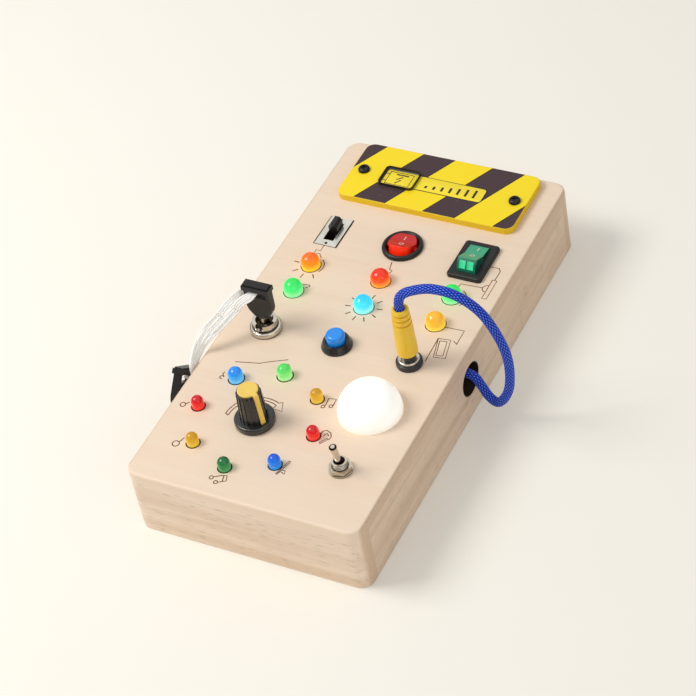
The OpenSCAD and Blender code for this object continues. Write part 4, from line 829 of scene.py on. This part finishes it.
# ---------------------------------------------------------------------------
# Jack and plug. A chrome ringed black jack under the end of a yellow moulded
# plug, and the white block that anchors the lead inside the case.
moulded("jack_black", colour(32, 32, 34), 0.34, 2400, 0.00001).on("jack_body")
plug_yellow = moulded("plug_yellow", colour(240, 192, 30), 0.34, 2400, 0.00002, {"Coat Roughness": 0.2}, 0.25)
plug_yellow.on("plug_shell")
moulded("white_block", colour(226, 225, 220), 0.46).on("lead_anchor", "dome_board")


# ---------------------------------------------------------------------------
# Selector. A grey switch body with a turned shaft, under a black ribbed knob
# that has a yellow pointer cap.
moulded("selector_grey", colour(96, 98, 104), 0.45).on("selector_body")
metal("turned_shaft", colour(212, 212, 210), 0.28, 2).on("selector_shaft")
knob_black = moulded("knob_black", colour(26, 24, 23), 0.28, 2800, 0.00001, {"Coat Roughness": 0.25}, 0.4)
knob_black.on("knob_body")
moulded("pointer_yellow", colour(238, 200, 96), 0.4, 2800, 0.00001).on("knob_cap")


# ---------------------------------------------------------------------------
# Toggle switch. A nickel plated bush through the top, its thread drawn in the
# finish, clamped by a washer and a nut, with a turned lever in its mouth.
TOGGLE_AXIS = (0.0297, -0.0723)
TOGGLE_PIVOT_Z = 0.0337
THREAD_PITCH = 0.00075
threaded = metal("threaded_nickel", colour(226, 216, 200), 0.2, 2).on("toggle_body")
bush_out, bush_z = from_axis(threaded, TOGGLE_AXIS)
crest = abs((bush_z / THREAD_PITCH).run("FRACT") - 0.5) * 2
threaded.cover(bump=threaded.bump(crest, 0.0004), rough=0.16 + 0.2 * crest)
# Painted shade in the roots of the thread and inside the bush's mouth.
paint_metal_shade(threaded, 0.7 * (1 - threaded.ease(crest, 0.1, 0.5)), 1 - threaded.ease(bush_out, 0.00215, 0.0024))
nut_plate = metal("plated_nut", colour(204, 194, 178), 0.16, 2).on("toggle_nut")
nut_out, nut_z = from_axis(nut_plate, TOGGLE_AXIS)
# Painted shade in the gap between washer and nut, at the foot on the top, and in the nut's bore.
paint_metal_shade(nut_plate, (nut_z > 0.03161) * (1 - nut_plate.ease(nut_z, 0.0317, 0.0320)),
        1 - nut_plate.ease(nut_z, 0.0311, 0.0313), 1 - nut_plate.ease(nut_out, 0.0031, 0.0036))
lever_plate = metal("turned_lever", colour(216, 206, 192), 0.16, 2).on("toggle_lever")
lever_x, lever_y, lever_z = lever_plate.axes()
lean = math.radians(10)
up_bush = lever_z - TOGGLE_PIVOT_Z
past_pivot = lever_y - TOGGLE_AXIS[1]
along_lever = up_bush * math.cos(lean) - past_pivot * math.sin(lean)
off_side = lever_x - TOGGLE_AXIS[0]
off_front = past_pivot * math.cos(lean) + up_bush * math.sin(lean)
lever_out = (off_side * off_side + off_front * off_front) ** 0.5
# A painted dark reflection round the rim of the lever's tip, and painted shade on its foot inside the bush.
paint_metal_shade(lever_plate,
        lever_plate.ease(lever_out, 0.0007, 0.00095) * lever_plate.ease(along_lever, 0.0117, 0.0119),
        1 - lever_plate.ease(along_lever, 0.0022, 0.0032))


# ---------------------------------------------------------------------------
# Dome lamp. An opal dome with a short straight rim, lit evenly by the board
# under it.
opal = Finish("opal_dome", {"Specular IOR Level": 0.45, "Emission Strength": 0.32})
opal_z = opal.axes()[2]
opal_milk = opal.noise(160, 2)
opal_fine = opal.noise(2200, 2)
rim = 1 - opal.ease(opal_z + (opal_milk - 0.5) * 0.001, 0.0315, 0.0345)
opal_tone = opal.mix(rim * 0.5, colour(255, 253, 246), colour(242, 232, 214))
opal.cover(base=opal_tone, glow=opal_tone, rough=0.28 + 0.08 * opal_fine,
           bump=opal.bump(opal_milk + 0.3 * opal_fine, 0.00001)).on("dome_lamp")


# ---------------------------------------------------------------------------
# Floor and light. A pale cream floor that keeps the board's soft shadow, a
# wide soft lamp from the upper left, a weaker one from the right, and even
# light from all round.
bpy.ops.object.select_all(action="DESELECT")
bpy.ops.mesh.primitive_plane_add(size=6, location=(0, 0, -0.0002))
floor = bpy.context.object
floor.name = "floor"
cream = colour(252, 248, 237)
ground = Finish("pale_floor", {"Specular IOR Level": 0.1})
sight = ground.put("ShaderNodeLightPath", out="Is Camera Ray")
mirror = ground.put("ShaderNodeLightPath", out="Is Glossy Ray")
through = ground.put("ShaderNodeLightPath", out="Is Transmission Ray")
seen = (sight + mirror + through).run("MINIMUM", 1)
paper = ground.noise(30, 2)
ground.cover(base=ground.mix(paper, cream, tuple(0.985 * c for c in cream)), rough=0.7 + 0.1 * paper)
shine = ground.put("ShaderNodeEmission", None, {"Color": cream, "Strength": 1.0})
blended = ground.put("ShaderNodeMixShader", None, {
    0: seen * 0.15, 1: Socket(ground, ground.shader.outputs[0]), 2: shine})
ground.feed(ground.tree.nodes["Material Output"].inputs["Surface"], blended)
floor.data.materials.append(ground.material)

world = bpy.data.worlds.new("even_light")
bpy.context.scene.world = world
world.use_nodes = True
air = world.node_tree
backdrop = air.nodes["Background"]
# Shiny parts mirror a room that is dim low down and bright overhead, all else
# gets even grey light, and the camera sees cream.
path = air.nodes.new("ShaderNodeLightPath")
way = air.nodes.new("ShaderNodeTexCoord")
split = air.nodes.new("ShaderNodeSeparateXYZ")
room = air.nodes.new("ShaderNodeValToRGB")
for place, (rise, level) in enumerate(((0.0, 0.30), (0.18, 0.10), (0.40, 0.34), (0.62, 0.95), (1.0, 1.05))):
    if place > 1:
        room.color_ramp.elements.new(rise)
    room.color_ramp.elements[place].position = rise
    room.color_ramp.elements[place].color = (level, level, 0.99 * level, 1)
air.links.new(way.outputs["Generated"], split.inputs[0])
air.links.new(split.outputs["Z"], room.inputs[0])
diffused = air.nodes.new("ShaderNodeMix")
diffused.data_type = "RGBA"
diffused.inputs[6].default_value = (0.52, 0.52, 0.53, 1)
air.links.new(path.outputs["Is Glossy Ray"], diffused.inputs[0])
air.links.new(room.outputs["Color"], diffused.inputs[7])
shade = air.nodes.new("ShaderNodeMix")
shade.data_type = "RGBA"
shade.inputs[7].default_value = (*cream, 1)
air.links.new(path.outputs["Is Camera Ray"], shade.inputs[0])
air.links.new(diffused.outputs[2], shade.inputs[6])
air.links.new(shade.outputs[2], backdrop.inputs["Color"])


def lamp(name, way, distance, size, watts, tint):
    """A square lamp that shines at the middle of the board's foot."""
    light = bpy.data.lights.new(name, "AREA")
    light.size = size
    light.energy = watts
    light.color = tint
    piece = bpy.data.objects.new(name, light)
    piece.location = Vector(way).normalized() * distance
    piece.rotation_euler = Vector(way).to_track_quat("Z", "Y").to_euler()
    bpy.context.scene.collection.objects.link(piece)


lamp("key_light", (-0.56, -0.24, 0.78), 1.0, 0.42, 5.5, (1.0, 0.985, 0.96))
lamp("fill_light", (0.75, -0.45, 0.5), 1.2, 0.8, 1.4, (0.97, 0.985, 1.0))
bpy.context.scene.view_settings.view_transform = "Standard"
